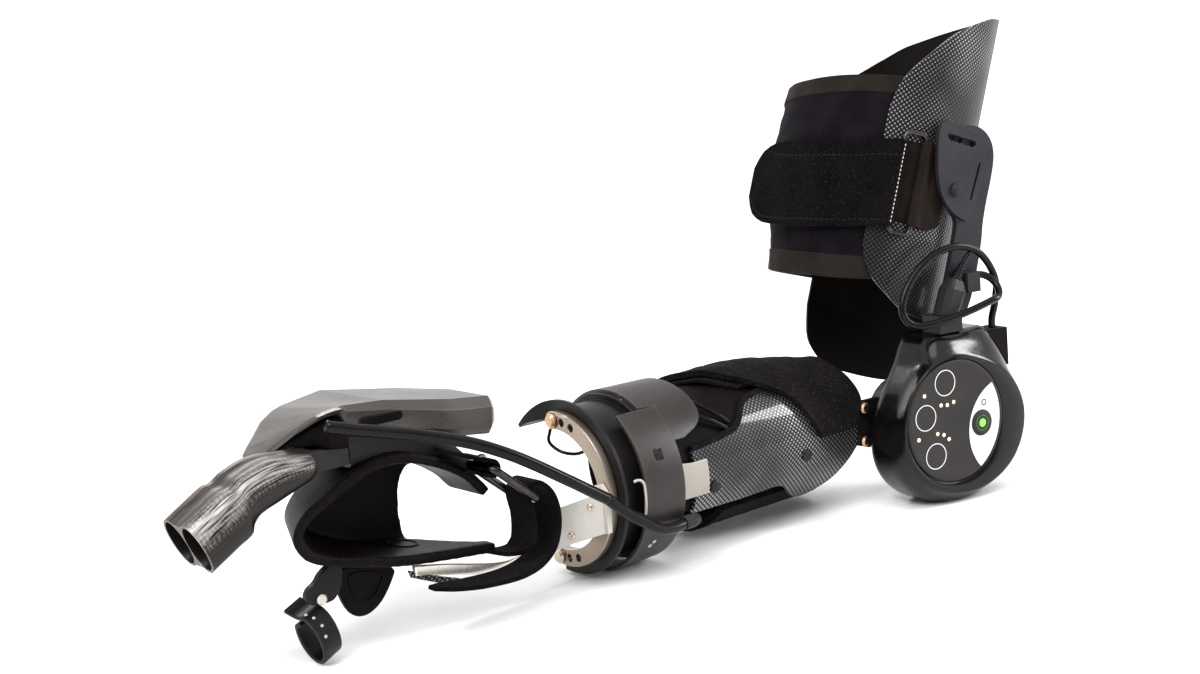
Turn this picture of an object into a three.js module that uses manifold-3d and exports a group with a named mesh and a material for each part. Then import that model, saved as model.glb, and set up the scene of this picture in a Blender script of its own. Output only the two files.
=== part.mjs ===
// Powered arm orthosis for a left arm, resting on a table with the elbow bent.
// Millimetres, +Z up. Pieces are drawn around the elbow axis, with +X forwards to the
// hand and +Y to the outer side, and the whole is then moved over its origin on the table.

import * as THREE from 'three';
import { mergeVertices } from 'three/addons/utils/BufferGeometryUtils.js';
import Module from 'manifold-3d';

const wasm = await Module();
wasm.setup();

// Whole object
const GAP = 0.3;
const TABLE = -50;
const ORIGIN = { x: 181.83, y: 21.09 };
const ARM_LEAN = 18.5;
const CARRY_ANGLE = 10;

// Upper-arm cuff: radii about its own axis, which runs in front of the elbow axis
const CUFF_CENTRE = 32;
const CUFF_INNER = 58;
const PAD_WALL = 3.5;
const SHELL_WALL = 2.2;
const CUFF_SEAT = CUFF_INNER + PAD_WALL + 0.4;
const SHELL_OUTER = CUFF_SEAT + SHELL_WALL;
const STRAP_WALL = 3;
const TAB_WALL = 2.8;
const LOOP = { phi: 15.25, radius: 66, width: 14.5, height: 62, level: 138.5, wire: 1.5 };
const UPRIGHT = { bar: 4, plate: 3, face: 67.9 };

// Elbow housing: polar outline about its own middle, between an inner and an outer face
const HOUSING = { x: -4, inner: 56.4, outer: 92, top: 55, steps: 40 };
const PANEL = { x: -1, z: 2.5, radius: 37.5, thick: 1.5, proud: 0.3 };
const CABLE_RADIUS = 2.25;

// Forearm trough
const TROUGH_RADIUS = 46;
const TROUGH_TAPER = 2;
const TROUGH_FROM = 60;
const TROUGH_TO = 188;
const BRACKET_FACE = 41.8;

// Rotator: a ring that turns in a fixed cover about an axis just above the forearm's
const RING_RISE = 1.5;
const COVER = { from: 203, to: 231.5, inner: 49.2, outer: 51.5, low: -102, high: 54 };
const RING = { from: 214, to: 246, inner: 40, web: 44.5, low: -100, high: 125, flange: 2.5 };
const ARC = { inner: 34.5, outer: 44.5, at: 246.4, thick: 5, low: -99, high: 94 };

// Hand: wrist pivot and knuckle axis as (u, w) along and above the forearm
const WRIST = { u: 264, w: -15 };
const KNUCKLE = { u: 408, w: 55 };
const PAD = { wall: 4.5, near: 22, far: -24, web: 3.5, skew: 20 };
const TUBE = { outer: 9.8, bore: 8.2, pitch: 17, middle: 7 };
const HAND_CABLE_RADIUS = 3.2;

const FINISH = {
  carbon: { color: 0x23242a, roughness: 0.25, metalness: 0.1 },
  twill: { color: 0x4a4644, roughness: 0.25, metalness: 0.2 },
  neoprene: { color: 0x17151a, roughness: 0.9, metalness: 0 },
  pile: { color: 0x0d0b0d, roughness: 1, metalness: 0 },
  tab: { color: 0x1c1615, roughness: 0.6, metalness: 0 },
  foam: { color: 0x18161a, roughness: 0.8, metalness: 0 },
  anodised: { color: 0x34363f, roughness: 0.4, metalness: 0.7 },
  gloss: { color: 0x0b0a0b, roughness: 0.15, metalness: 0 },
  panel: { color: 0x2b2828, roughness: 0.6, metalness: 0 },
  lit: { color: 0x86e04a, roughness: 0.4, metalness: 0 },
  cable: { color: 0x141314, roughness: 0.5, metalness: 0 },
  moulded: { color: 0x4b4745, roughness: 0.55, metalness: 0 },
  dark: { color: 0x141213, roughness: 0.5, metalness: 0 },
  aluminium: { color: 0xb9a88e, roughness: 0.35, metalness: 1 },
  nickel: { color: 0xd9d4cb, roughness: 0.35, metalness: 1 },
  steel: { color: 0xc9b79e, roughness: 0.3, metalness: 1 },
};

const { degToRad, lerp, smoothstep } = THREE.MathUtils;

// Smooth reading of one column of a table whose rows are sorted by a key column.
function read(table, key, value, column) {
  const last = table.length - 1;
  if (value <= table[0][key]) return table[0][column];
  if (value >= table[last][key]) return table[last][column];
  const i = table.findIndex((row) => row[key] > value) - 1;
  const slope = (k) => {
    const before = table[Math.max(k - 1, 0)];
    const after = table[Math.min(k + 1, last)];
    return (after[column] - before[column]) / (after[key] - before[key]);
  };
  const span = table[i + 1][key] - table[i][key];
  const x = (value - table[i][key]) / span;
  const rise = table[i + 1][column] - table[i][column];
  const bend = (1 - x) * (slope(i) * span - rise) + x * (rise - slope(i + 1) * span);
  return table[i][column] + rise * x + x * (1 - x) * bend;
}

// One closed body from points and triangles, turned so that its faces point out.
function closedBody(points, faces) {
  const corner = points.map((p) => new THREE.Vector3(...p));
  const volume = faces.reduce(
    (sum, [a, b, c]) => sum + corner[a].dot(corner[b].clone().cross(corner[c])),
    0,
  );
  const turned = volume < 0 ? faces.map(([a, b, c]) => [c, b, a]) : faces;
  const geometry = new THREE.BufferGeometry();
  geometry.setAttribute('position', new THREE.Float32BufferAttribute(points.flat(), 3));
  geometry.setIndex(turned.flat());
  geometry.computeVertexNormals();
  return geometry;
}

// A wall between two surfaces, each a function of two numbers from 0 to 1.
function wall(cols, rows, outer, inner) {
  const points = [];
  const faces = [];
  const quad = (a, b, c, d) => faces.push([a, b, c], [a, c, d]);
  for (const surface of [outer, inner]) {
    for (let i = 0; i <= cols; i += 1) {
      for (let j = 0; j <= rows; j += 1) points.push(surface(i / cols, j / rows));
    }
  }
  const at = (side, i, j) => (side * (cols + 1) + i) * (rows + 1) + j;
  for (let i = 0; i < cols; i += 1) {
    for (let j = 0; j < rows; j += 1) {
      quad(at(0, i, j), at(0, i + 1, j), at(0, i + 1, j + 1), at(0, i, j + 1));
      quad(at(1, i, j), at(1, i, j + 1), at(1, i + 1, j + 1), at(1, i + 1, j));
    }
    quad(at(1, i, 0), at(1, i + 1, 0), at(0, i + 1, 0), at(0, i, 0));
    quad(at(0, i, rows), at(0, i + 1, rows), at(1, i + 1, rows), at(1, i, rows));
  }
  for (let j = 0; j < rows; j += 1) {
    quad(at(0, 0, j), at(0, 0, j + 1), at(1, 0, j + 1), at(1, 0, j));
    quad(at(1, cols, j), at(1, cols, j + 1), at(0, cols, j + 1), at(0, cols, j));
  }
  return closedBody(points, faces);
}

// A flat outline carried through a list of places; each place maps (a, b) into space.
function sweep(outline, places, loop = false) {
  const count = outline.length;
  const points = places.flatMap((place) => outline.map(([a, b]) => place(a, b)));
  const faces = [];
  const spans = loop ? places.length : places.length - 1;
  for (let i = 0; i < spans; i += 1) {
    const here = i * count;
    const next = ((i + 1) % places.length) * count;
    for (let j = 0; j < count; j += 1) {
      const k = (j + 1) % count;
      faces.push([here + j, here + k, next + k], [here + j, next + k, next + j]);
    }
  }
  if (!loop) {
    const flat = outline.map(([a, b]) => new THREE.Vector2(a, b));
    const end = (places.length - 1) * count;
    const anticlockwise = !THREE.ShapeUtils.isClockWise(flat);
    for (const [a, b, c] of THREE.ShapeUtils.triangulateShape(flat, [])) {
      const [first, third] = anticlockwise ? [a, c] : [c, a];
      faces.push([third, b, first], [end + first, end + b, end + third]);
    }
  }
  return closedBody(points, faces);
}

function circle(radius, sides, x = 0, y = 0) {
  return Array.from({ length: sides }, (_, i) => {
    const angle = (i / sides) * 2 * Math.PI;
    return [x + radius * Math.cos(angle), y + radius * Math.sin(angle)];
  });
}

function roundedRectangle(width, height, corner, steps = 3) {
  const points = [];
  for (let quarter = 0; quarter < 4; quarter += 1) {
    const x = (width / 2 - corner) * (quarter === 0 || quarter === 3 ? 1 : -1);
    const y = (height / 2 - corner) * (quarter < 2 ? 1 : -1);
    for (let i = 0; i <= steps; i += 1) {
      const angle = (quarter + i / steps) * (Math.PI / 2);
      points.push([x + corner * Math.cos(angle), y + corner * Math.sin(angle)]);
    }
  }
  return points;
}

// A round wire bent along a closed flat outline in the plane of two directions.
function wireLoop(outline, radius, sides, centre, across, along) {
  const normal = across.clone().cross(along);
  const count = outline.length;
  const places = outline.map(([x, y], i) => {
    const [bx, by] = outline[(i + count - 1) % count];
    const [nx, ny] = outline[(i + 1) % count];
    const out = new THREE.Vector2(ny - by, bx - nx).normalize();
    const middle = centre.clone().addScaledVector(across, x).addScaledVector(along, y);
    const outward = across.clone().multiplyScalar(out.x).addScaledVector(along, out.y);
    return (a, b) => middle.clone().addScaledVector(outward, a).addScaledVector(normal, b).toArray();
  });
  return sweep(circle(radius, sides), places, true);
}

// A flat plate whose outline lies in two axes, with its thickness along a third.
function plate(outline, thickness, holes = []) {
  const shape = new THREE.Shape(outline.map(([x, y]) => new THREE.Vector2(x, y)));
  shape.holes = holes.map((hole) => new THREE.Path(hole.map(([x, y]) => new THREE.Vector2(x, y))));
  return new THREE.ExtrudeGeometry(shape, { depth: thickness, bevelEnabled: false, steps: 1 });
}

// Plate drawn in X and Z, reaching from its face at a given Y back towards the arm.
function sidePlate(outline, thickness, face, holes = []) {
  return plate(outline, thickness, holes).rotateX(Math.PI / 2).translate(0, face, 0);
}

// Plate drawn in Y and Z, reaching forwards along X from a given place.
function crossPlate(outline, thickness, from, holes = []) {
  const turn = new THREE.Matrix4().makeBasis(
    new THREE.Vector3(0, 1, 0),
    new THREE.Vector3(0, 0, 1),
    new THREE.Vector3(1, 0, 0),
  );
  return plate(outline, thickness, holes).applyMatrix4(turn).translate(from, 0, 0);
}

// A round cord through a list of points.
function cord(points, radius, sides, steps) {
  const path = new THREE.CatmullRomCurve3(points.map((p) => new THREE.Vector3(...p)));
  const section = new THREE.Shape(circle(radius, sides).map(([x, y]) => new THREE.Vector2(x, y)));
  return new THREE.ExtrudeGeometry(section, { steps, bevelEnabled: false, extrudePath: path });
}

// A domed screw or rivet head standing on Y, with its seat at the origin.
function head(radius, height, sides = 12) {
  const profile = [[0, 0], [radius, 0], [radius, height * 0.45], [radius * 0.7, height * 0.9], [0, height]];
  return new THREE.LatheGeometry(profile.map(([x, y]) => new THREE.Vector2(x, y)), sides);
}

// Straight piece between two points: a lathe profile of (radius, share of the length).
function turned(profile, from, to, sides) {
  const start = new THREE.Vector3(...from);
  const axis = new THREE.Vector3(...to).sub(start);
  const length = axis.length();
  const points = profile.map(([radius, share]) => new THREE.Vector2(radius, share * length));
  const turn = new THREE.Quaternion().setFromUnitVectors(new THREE.Vector3(0, 1, 0), axis.normalize());
  return new THREE.LatheGeometry(points, sides).applyQuaternion(turn).translate(...from);
}

function box(x, y, z) {
  const size = [x[1] - x[0], y[1] - y[0], z[1] - z[0]];
  return new THREE.BoxGeometry(...size).translate((x[0] + x[1]) / 2, (y[0] + y[1]) / 2, (z[0] + z[1]) / 2);
}

function toSolid(geometry) {
  const bare = geometry.clone();
  bare.deleteAttribute('normal');
  bare.deleteAttribute('uv');
  const merged = mergeVertices(bare, 1e-3);
  const mesh = new wasm.Mesh({
    numProp: 3,
    vertProperties: new Float32Array(merged.attributes.position.array),
    triVerts: new Uint32Array(merged.index.array),
  });
  return new wasm.Manifold(mesh);
}

function toGeometry(solid) {
  const mesh = solid.getMesh();
  const geometry = new THREE.BufferGeometry();
  geometry.setAttribute('position', new THREE.Float32BufferAttribute(mesh.vertProperties, 3));
  geometry.setIndex(Array.from(mesh.triVerts));
  geometry.computeVertexNormals();
  return geometry;
}

const cut = (geometry, ...tools) =>
  toGeometry(tools.reduce((solid, tool) => solid.subtract(toSolid(tool)), toSolid(geometry)));
const join = (...geometries) =>
  toGeometry(geometries.slice(1).reduce((solid, next) => solid.add(toSolid(next)), toSolid(geometries[0])));

function add(group, name, geometry, finish) {
  const mesh = new THREE.Mesh(geometry, new THREE.MeshStandardMaterial(FINISH[finish]));
  mesh.name = name;
  group.add(mesh);
}

const elbow = new THREE.Group();
const upperArm = new THREE.Group();
upperArm.rotation.y = -degToRad(ARM_LEAN);
const forearm = new THREE.Group();
forearm.rotation.z = degToRad(CARRY_ANGLE);
elbow.add(upperArm, forearm);

// Upper-arm cuff. Phi goes round the arm: 0 at the outer side, 90 at the front.
const cuffPoint = (phi, radius, t) => [
  CUFF_CENTRE + radius * Math.sin(degToRad(phi)),
  radius * Math.cos(degToRad(phi)),
  t,
];

// Part of the cuff between a lower and an upper edge that change with phi.
function cuffWall(cols, rows, edges, radius, thickness) {
  const from = edges[0].phi;
  const to = edges[edges.length - 1].phi;
  const surface = (extra) => (a, b) => {
    const phi = lerp(from, to, a);
    const t = lerp(read(edges, 'phi', phi, 'low'), read(edges, 'phi', phi, 'high'), b);
    return cuffPoint(phi, radius(phi, t) + extra, t);
  };
  return wall(cols, rows, surface(thickness), surface(0));
}

const SHELL_EDGES = [
  { phi: -50, low: 62, high: 259 },
  { phi: -27, low: 60, high: 253 },
  { phi: 0, low: 62, high: 237 },
  { phi: 15, low: 71, high: 220 },
  { phi: 25, low: 79.5, high: 206 },
  { phi: 30, low: 88, high: 195 },
  { phi: 32.5, low: 97, high: 182 },
];
const LINER_EDGES = [
  { phi: -163, low: 60, high: 214 },
  { phi: -160, low: 42, high: 220 },
  { phi: -155, low: 32, high: 225 },
  { phi: -145, low: 23, high: 234 },
  { phi: -130, low: 19.5, high: 246 },
  { phi: -100, low: 19.5, high: 258 },
  { phi: -70, low: 25, high: 261 },
  { phi: -45, low: 50, high: 256 },
  { phi: -20, low: 64, high: 248 },
  { phi: 0, low: 66, high: 235 },
  { phi: 17.5, low: 76, high: 214 },
];
const WRAP_EDGES = [
  { phi: 18.2, low: 79, high: 203 },
  { phi: 50, low: 75, high: 199 },
  { phi: 105, low: 75, high: 193 },
  { phi: 212, low: 80, high: 190 },
];
const STRAP_EDGES = [
  { phi: 23.3, low: 110, high: 164 },
  { phi: 52, low: 104.5, high: 157.5 },
  { phi: 108, low: 100, high: 153 },
  { phi: 120, low: 102, high: 151 },
  { phi: 128, low: 107, high: 146 },
  { phi: 133, low: 118, high: 135 },
];
const TAB_EDGES = [
  { phi: -8, low: 113, high: 166 },
  { phi: 7.3, low: 113, high: 166 },
];
// How far the front of the cuff draws in towards the elbow and the armpit.
const FRONT_DIP = [
  { t: 75, depth: 13 },
  { t: 100, depth: 8 },
  { t: 125, depth: 3 },
  { t: 150, depth: 0.7 },
  { t: 195, depth: 3.2 },
];

const frontDip = (phi, t) =>
  read(FRONT_DIP, 't', t, 'depth') * smoothstep(phi, 40, 85) * (1 - smoothstep(phi, 135, 178));
const wrapRadius = (phi, t) =>
  lerp(CUFF_INNER, CUFF_SEAT, smoothstep(phi, 150, 178)) - frontDip(phi, t);
const strapRadius = (phi, t) => {
  const onWrap = CUFF_SEAT - frontDip(phi, t) / 2 + 6 * smoothstep(phi, 100, 133);
  return lerp(SHELL_OUTER + 0.4, onWrap, smoothstep(phi, 33, 45));
};

add(upperArm, 'upper_arm_shell', cuffWall(14, 6, SHELL_EDGES, () => CUFF_SEAT, SHELL_WALL), 'carbon');
add(upperArm, 'upper_arm_liner', cuffWall(28, 4, LINER_EDGES, () => CUFF_INNER, PAD_WALL), 'foam');
add(upperArm, 'upper_arm_wrap', cuffWall(24, 6, WRAP_EDGES, wrapRadius, PAD_WALL), 'neoprene');
add(upperArm, 'upper_arm_strap', cuffWall(20, 2, STRAP_EDGES, strapRadius, STRAP_WALL), 'pile');
add(upperArm, 'loop_tab', cuffWall(4, 1, TAB_EDGES, () => SHELL_OUTER + GAP, TAB_WALL), 'tab');

function strapLoop() {
  const centre = new THREE.Vector3(...cuffPoint(LOOP.phi, LOOP.radius, LOOP.level));
  const turn = degToRad(LOOP.phi);
  const across = new THREE.Vector3(Math.cos(turn), -Math.sin(turn), 0);
  const outline = roundedRectangle(LOOP.width, LOOP.height, 3.5, 3);
  return wireLoop(outline, LOOP.wire, 6, centre, across, new THREE.Vector3(0, 0, 1));
}
add(upperArm, 'strap_loop', strapLoop(), 'dark');

// Side upright: a bar from the housing that widens to a back plate, with a front plate on it.
function uprightBar() {
  const lean = degToRad(ARM_LEAN);
  const foot = (s) => [s, (HOUSING.top + 0.4 - s * Math.sin(lean)) / Math.cos(lean)];
  const outline = [
    foot(-15.6), foot(7.2), [7.2, 120], [10, 126], [18, 130], [18, 181], [8, 184.7],
    [-2, 182], [-9, 175.5], [-12.6, 164], [-12, 130], [-15.6, 112],
  ];
  return sidePlate(outline, UPRIGHT.bar, UPRIGHT.face);
}

function uprightPlate() {
  const outline = [
    [-0.5, 124], [10.7, 125.5], [19, 129], [26, 134.5], [31.2, 142], [36.9, 159.5], [39, 175],
    [37, 180], [31, 182.2], [8.4, 180], [1, 177], [-2.6, 170],
  ];
  const slot = roundedRectangle(23, 3.8, 1.89, 3).map(([x, y]) => [x + 20, y + 172]);
  return sidePlate(outline, UPRIGHT.plate, UPRIGHT.face + GAP + UPRIGHT.plate, [slot]);
}

// Block between the round shell and the flat bar.
function plateSpacer() {
  const seat = SHELL_OUTER + GAP;
  const s = (a) => lerp(-8, 14, a);
  const t = (b) => lerp(136, 166, b);
  const face = UPRIGHT.face - UPRIGHT.bar - GAP;
  const onShell = (a, b) => [s(a), Math.sqrt(seat ** 2 - (s(a) - CUFF_CENTRE) ** 2), t(b)];
  return wall(6, 1, (a, b) => [s(a), face, t(b)], onShell);
}

const plateFace = UPRIGHT.face + GAP + UPRIGHT.plate;
add(upperArm, 'upright_bar', uprightBar(), 'anodised');
add(upperArm, 'upright_plate', uprightPlate(), 'anodised');
add(upperArm, 'plate_spacer', plateSpacer(), 'dark');
add(upperArm, 'plate_rivet', head(4.2, 2.6).translate(17.4, plateFace + GAP, 141.7), 'steel');

// Elbow housing: body is its outline near the arm, rim its outline at the outer face.
const HOUSING_OUTLINE = [
  { angle: 0, body: 41, rim: 43 },
  { angle: 30, body: 38, rim: 43.5 },
  { angle: 60, body: 43, rim: 43.5 },
  { angle: 82, body: 58, rim: 43 },
  { angle: 100, body: 60, rim: 43 },
  { angle: 122, body: 64, rim: 44 },
  { angle: 150, body: 58, rim: 49 },
  { angle: 180, body: 60, rim: 54 },
  { angle: 210, body: 59, rim: 53 },
  { angle: 240, body: 54.5, rim: 48 },
  { angle: 270, body: 52, rim: 44 },
  { angle: 300, body: 50, rim: 43 },
  { angle: 330, body: 47, rim: 43 },
  { angle: 360, body: 41, rim: 43 },
];
const HOUSING_SECTIONS = [
  { y: HOUSING.inner, mix: 0, grow: -3 },
  { y: 59, mix: 0, grow: 0 },
  { y: 77, mix: 0, grow: 0 },
  { y: 84, mix: 0.35, grow: 0 },
  { y: 89.5, mix: 0.85, grow: 0 },
  { y: HOUSING.outer, mix: 1, grow: -1.2 },
];

function housingBody(extra) {
  const outline = circle(1, HOUSING.steps);
  const places = HOUSING_SECTIONS.map(({ y, mix, grow }) => (a, b) => {
    const angle = (THREE.MathUtils.radToDeg(Math.atan2(b, a)) + 360) % 360;
    const body = read(HOUSING_OUTLINE, 'angle', angle, 'body');
    const radius = lerp(body, read(HOUSING_OUTLINE, 'angle', angle, 'rim'), mix) + grow + extra;
    const z = THREE.MathUtils.clamp(radius * b, TABLE - extra, HOUSING.top + extra);
    return [HOUSING.x + radius * a, y, z];
  });
  return sweep(outline, places);
}

function disc(radius, from, to, x, z, sides) {
  return new THREE.CylinderGeometry(radius, radius, to - from, sides).translate(x, (from + to) / 2, z);
}

const panelBack = HOUSING.outer + PANEL.proud - PANEL.thick;
const panelRecess = disc(PANEL.radius + 0.4, panelBack - GAP, HOUSING.outer + 5, PANEL.x, PANEL.z, 40);
const panelFront = panelBack + PANEL.thick;
add(elbow, 'elbow_housing', cut(housingBody(0), panelRecess), 'gloss');
add(elbow, 'housing_block', cut(box([-62.5, -34], [58, 74], [25.5, 49.5]), housingBody(0.4)), 'dark');
add(elbow, 'control_panel', disc(PANEL.radius, panelBack, panelFront, PANEL.x, PANEL.z, 40), 'panel');
add(elbow, 'power_button', disc(6.5, panelFront + GAP, panelFront + 1.2, -20.8, -2.1, 20), 'lit');

// Lead that makes one turn above the housing, from the block round to a connector on the bar.
const COIL_ROUTE = [
  [-53.5, 70, 50.1], [-53.5, 70.4, 56], [-53, 74.5, 67], [-51, 78, 81], [-41.4, 79, 96.7],
  [-31.7, 79, 103.6], [-18.5, 79, 106.3], [-1.8, 79, 103.4], [15.2, 79, 92.6], [24.4, 79.4, 79.6],
  [26.4, 80.4, 72.7], [24, 82, 66.5], [17.4, 84, 63], [2.9, 87, 63.6], [-17.3, 89.7, 67.3],
  [-36.4, 90.3, 71.7], [-41.35, 89.5, 72.7], [-45, 87.1, 75.4], [-46.3, 83.9, 79.2], [-45, 80.7, 83],
  [-41.35, 78.3, 85.7], [-36.4, 77.45, 86.7], [-35.7, 77.4, 86.7],
];
const PLUG_AXIS = { foot: [-9.5, 78, 66.4], neck: [-18.6, 78, 86], tip: [-24.2, 79, 95.4] };

function plugBody() {
  const [x0, y0, z0] = PLUG_AXIS.foot;
  const [x1, y1, z1] = PLUG_AXIS.neck;
  const flare = [{ share: 0, size: 1 }, { share: 0.7, size: 1 }, { share: 1, size: 0.6 }];
  const places = flare.map(({ share, size }) => (a, b) => [
    lerp(x0, x1, share) + a * size,
    lerp(y0, y1, share) + b * size,
    lerp(z0, z1, share) + a * size * share * ((x0 - x1) / (z1 - z0)),
  ]);
  return sweep(roundedRectangle(14, 12, 3, 2), places);
}

function plugRelief() {
  const ribs = [[0, 0.07], [3.9, 0.07]];
  for (let i = 0; i < 4; i += 1) {
    const share = 0.1 + i * 0.22;
    const radius = 3.9 - i * 0.45;
    ribs.push([radius, share + 0.08], [radius - 0.9, share + 0.1], [radius - 0.9, share + 0.2]);
  }
  ribs.push([2.1, 1], [0, 1]);
  return turned(ribs, PLUG_AXIS.neck, PLUG_AXIS.tip, 8);
}

add(elbow, 'cable_coil', cord(COIL_ROUTE, CABLE_RADIUS, 7, 50), 'cable');
add(elbow, 'cable_connector', box([-35, -25], [UPRIGHT.face + GAP, 82], [77, 89]), 'dark');
add(elbow, 'plug_socket', box([-17, 1], [UPRIGHT.face + 0.5, 84], [HOUSING.top + GAP, 66]), 'dark');
add(elbow, 'cable_plug', plugBody(), 'dark');
add(elbow, 'plug_relief', plugRelief(), 'cable');
add(elbow, 'plug_lead', cord([[-24.5, 79, 95.8], [-27.5, 79, 98.8], [-30, 79, 101.2]], 1.5, 8, 4), 'cable');

// Forearm trough. Psi goes round the forearm: 0 at the outer side, 90 on top.
const armPoint = (psi, radius, u, rise = 0) => [
  u,
  radius * Math.cos(degToRad(psi)),
  rise + radius * Math.sin(degToRad(psi)),
];
const troughOuter = (u) =>
  TROUGH_RADIUS - TROUGH_TAPER * THREE.MathUtils.clamp((u - TROUGH_FROM) / (TROUGH_TO - TROUGH_FROM), 0, 1);

const TROUGH_EDGES = [
  { u: 54, low: -13, high: 8 },
  { u: 62, low: -27, high: 26 },
  { u: 72, low: -42, high: 42 },
  { u: 88, low: -54, high: 50 },
  { u: 104, low: -44, high: 51 },
  { u: 116, low: -30, high: 51 },
  { u: 134, low: -29, high: 46 },
  { u: 148, low: -30, high: 29 },
  { u: 160, low: -30, high: 24.5 },
  { u: 188, low: -30, high: 20.5 },
];

function forearmShell() {
  const surface = (depth) => (a, b) => {
    const u = lerp(TROUGH_EDGES[0].u, TROUGH_TO, a);
    const psi = lerp(read(TROUGH_EDGES, 'u', u, 'low'), read(TROUGH_EDGES, 'u', u, 'high'), b);
    return armPoint(psi, troughOuter(u) - depth, u);
  };
  return wall(18, 7, surface(0), surface(SHELL_WALL));
}

function forearmLiner() {
  const seat = (u) => troughOuter(u) - SHELL_WALL - 0.4;
  const surface = (depth) => (a, b) => {
    const u = lerp(112, 198, a);
    return armPoint(lerp(-30, 215, b), seat(u) - depth, u);
  };
  return wall(3, 20, surface(0), surface(2.5));
}

// Soft forearm wrap: outer radius round the arm, with its distal edge.
const WRAP_ROUND = [
  { psi: 3, outer: 49.9, end: 89, start: 60 },
  { psi: 20, outer: 49.9, end: 96, start: 49.5 },
  { psi: 40, outer: 49.9, end: 106, start: 51 },
  { psi: 60, outer: 49.6, end: 125, start: 58 },
  { psi: 90, outer: 47, end: 147, start: 60 },
  { psi: 120, outer: 46.8, end: 156, start: 57 },
  { psi: 180, outer: 46.8, end: 160, start: 50 },
  { psi: 230, outer: 46.6, end: 162, start: 52 },
  { psi: 270, outer: 45, end: 162, start: 56 },
  { psi: 298, outer: 42.6, end: 160, start: 66 },
  { psi: 318, outer: 42.3, end: 158, start: 76 },
];
const WRAP_CROWN = [
  { u: 45, rise: -6 },
  { u: 61, rise: -3.8 },
  { u: 79, rise: -0.7 },
  { u: 113, rise: 3.2 },
  { u: 147, rise: 2.2 },
];

function forearmWrap() {
  const surface = (depth) => (a, b) => {
    const psi = lerp(WRAP_ROUND[0].psi, WRAP_ROUND[WRAP_ROUND.length - 1].psi, a);
    const u = lerp(read(WRAP_ROUND, 'psi', psi, 'start'), read(WRAP_ROUND, 'psi', psi, 'end'), b);
    const crown = smoothstep(psi, 62, 85) * (1 - smoothstep(psi, 100, 150));
    const outer = read(WRAP_ROUND, 'psi', psi, 'outer') + crown * read(WRAP_CROWN, 'u', u, 'rise');
    return armPoint(psi, outer - depth, u);
  };
  return wall(30, 4, surface(0), surface(PAD_WALL));
}

// Hub on the motor axis, with the arm that carries the trough from inside.
function forearmBracket() {
  const hub = disc(25, 39, HOUSING.inner - 0.6, 0, 0, 24);
  const outline = [[4, -13], [40, -15], [52, -11], [72, -9], [76, 0], [72, 9], [52, 11], [40, 15], [4, 14]];
  const arm = sidePlate(outline, 4, BRACKET_FACE).rotateZ(degToRad(CARRY_ANGLE));
  return join(hub, arm);
}

add(elbow, 'forearm_bracket', forearmBracket(), 'dark');
[[43, 11], [44, -10]].forEach(([u, w], i) => {
  add(forearm, `bracket_bolt_${i + 1}`, head(3.6, 2.4, 10).translate(u, BRACKET_FACE + GAP, w), 'steel');
});
add(forearm, 'forearm_shell', forearmShell(), 'carbon');
add(forearm, 'forearm_liner', forearmLiner(), 'foam');
add(forearm, 'forearm_wrap', forearmWrap(), 'neoprene');
[[174, -10.8], [99, -8.2]].forEach(([u, psi], i) => {
  const rivet = head(3.8, 1.8, 12).translate(0, troughOuter(u) + 0.4, 0);
  add(forearm, `forearm_rivet_${i + 1}`, rivet.rotateX(degToRad(psi)).translate(u, 0, 0), 'dark');
});

const SENSOR_WIRES = [
  { from: { u: 186, psi: 78 }, to: { u: 153, psi: 33 } },
  { from: { u: 186, psi: 55 }, to: { u: 156, psi: 29 } },
];
SENSOR_WIRES.forEach(({ from, to }, i) => {
  const route = [0, 0.25, 0.5, 0.75, 1].map((share) => {
    const u = lerp(from.u, to.u, share);
    const lift = 1.6 + 2 * Math.sin(share * Math.PI);
    return armPoint(lerp(from.psi, to.psi, share), troughOuter(u) - SHELL_WALL + lift, u);
  });
  add(forearm, `sensor_wire_${i + 1}`, cord(route, 1.1, 6, 8), 'cable');
});

// Rotator cover, hood and the bright link between the trough and the cover.
function ringWall(cols, rows, psi, surface) {
  return wall(cols, rows, (a, b) => surface(lerp(...psi, a), b, 0), (a, b) => surface(lerp(...psi, a), b, 1));
}

function rotatorCover() {
  const band = ringWall(26, 1, [COVER.low, COVER.high], (psi, b, side) =>
    armPoint(psi, side ? COVER.inner : COVER.outer, lerp(COVER.from, COVER.to, b), RING_RISE));
  const window = box([215, 221], [COVER.inner - 4, COVER.outer + 4], [-3.5, 3.5]);
  return cut(band, window.rotateX(degToRad(22)).translate(0, 0, RING_RISE));
}

const HOOD_EDGES = [
  { psi: 28, back: 194, front: COVER.from - 0.4 },
  { psi: 34, back: 182, front: COVER.from - 0.4 },
  { psi: 42, back: 176, front: COVER.from - 0.4 },
  { psi: 55.5, back: 174, front: COVER.from - 0.4 },
  { psi: 56.5, back: 174, front: RING.from - 0.8 },
  { psi: 140, back: 176, front: RING.from - 0.8 },
];

function rotatorHood() {
  return ringWall(24, 2, [28, 140], (psi, b, side) => {
    const row = HOOD_EDGES.filter((edge) => edge.psi <= psi + 1e-6).pop();
    const back = read(HOOD_EDGES, 'psi', psi, 'back');
    const radius = (side ? 47.4 : 50) - 0.6 * (1 - b);
    return armPoint(psi, radius, lerp(back, row.front, b), RING_RISE);
  });
}

function linkBar() {
  const radius = (u) => lerp(troughOuter(176) + 0.3, COVER.inner - 2.3, smoothstep(u, 189, 204));
  return ringWall(4, 6, [-13, 12], (psi, b, side) => {
    const u = lerp(180, 212, b);
    return armPoint(psi, radius(u) + (side ? 0 : 2), u, RING_RISE * smoothstep(u, 189, 204));
  });
}

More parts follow.
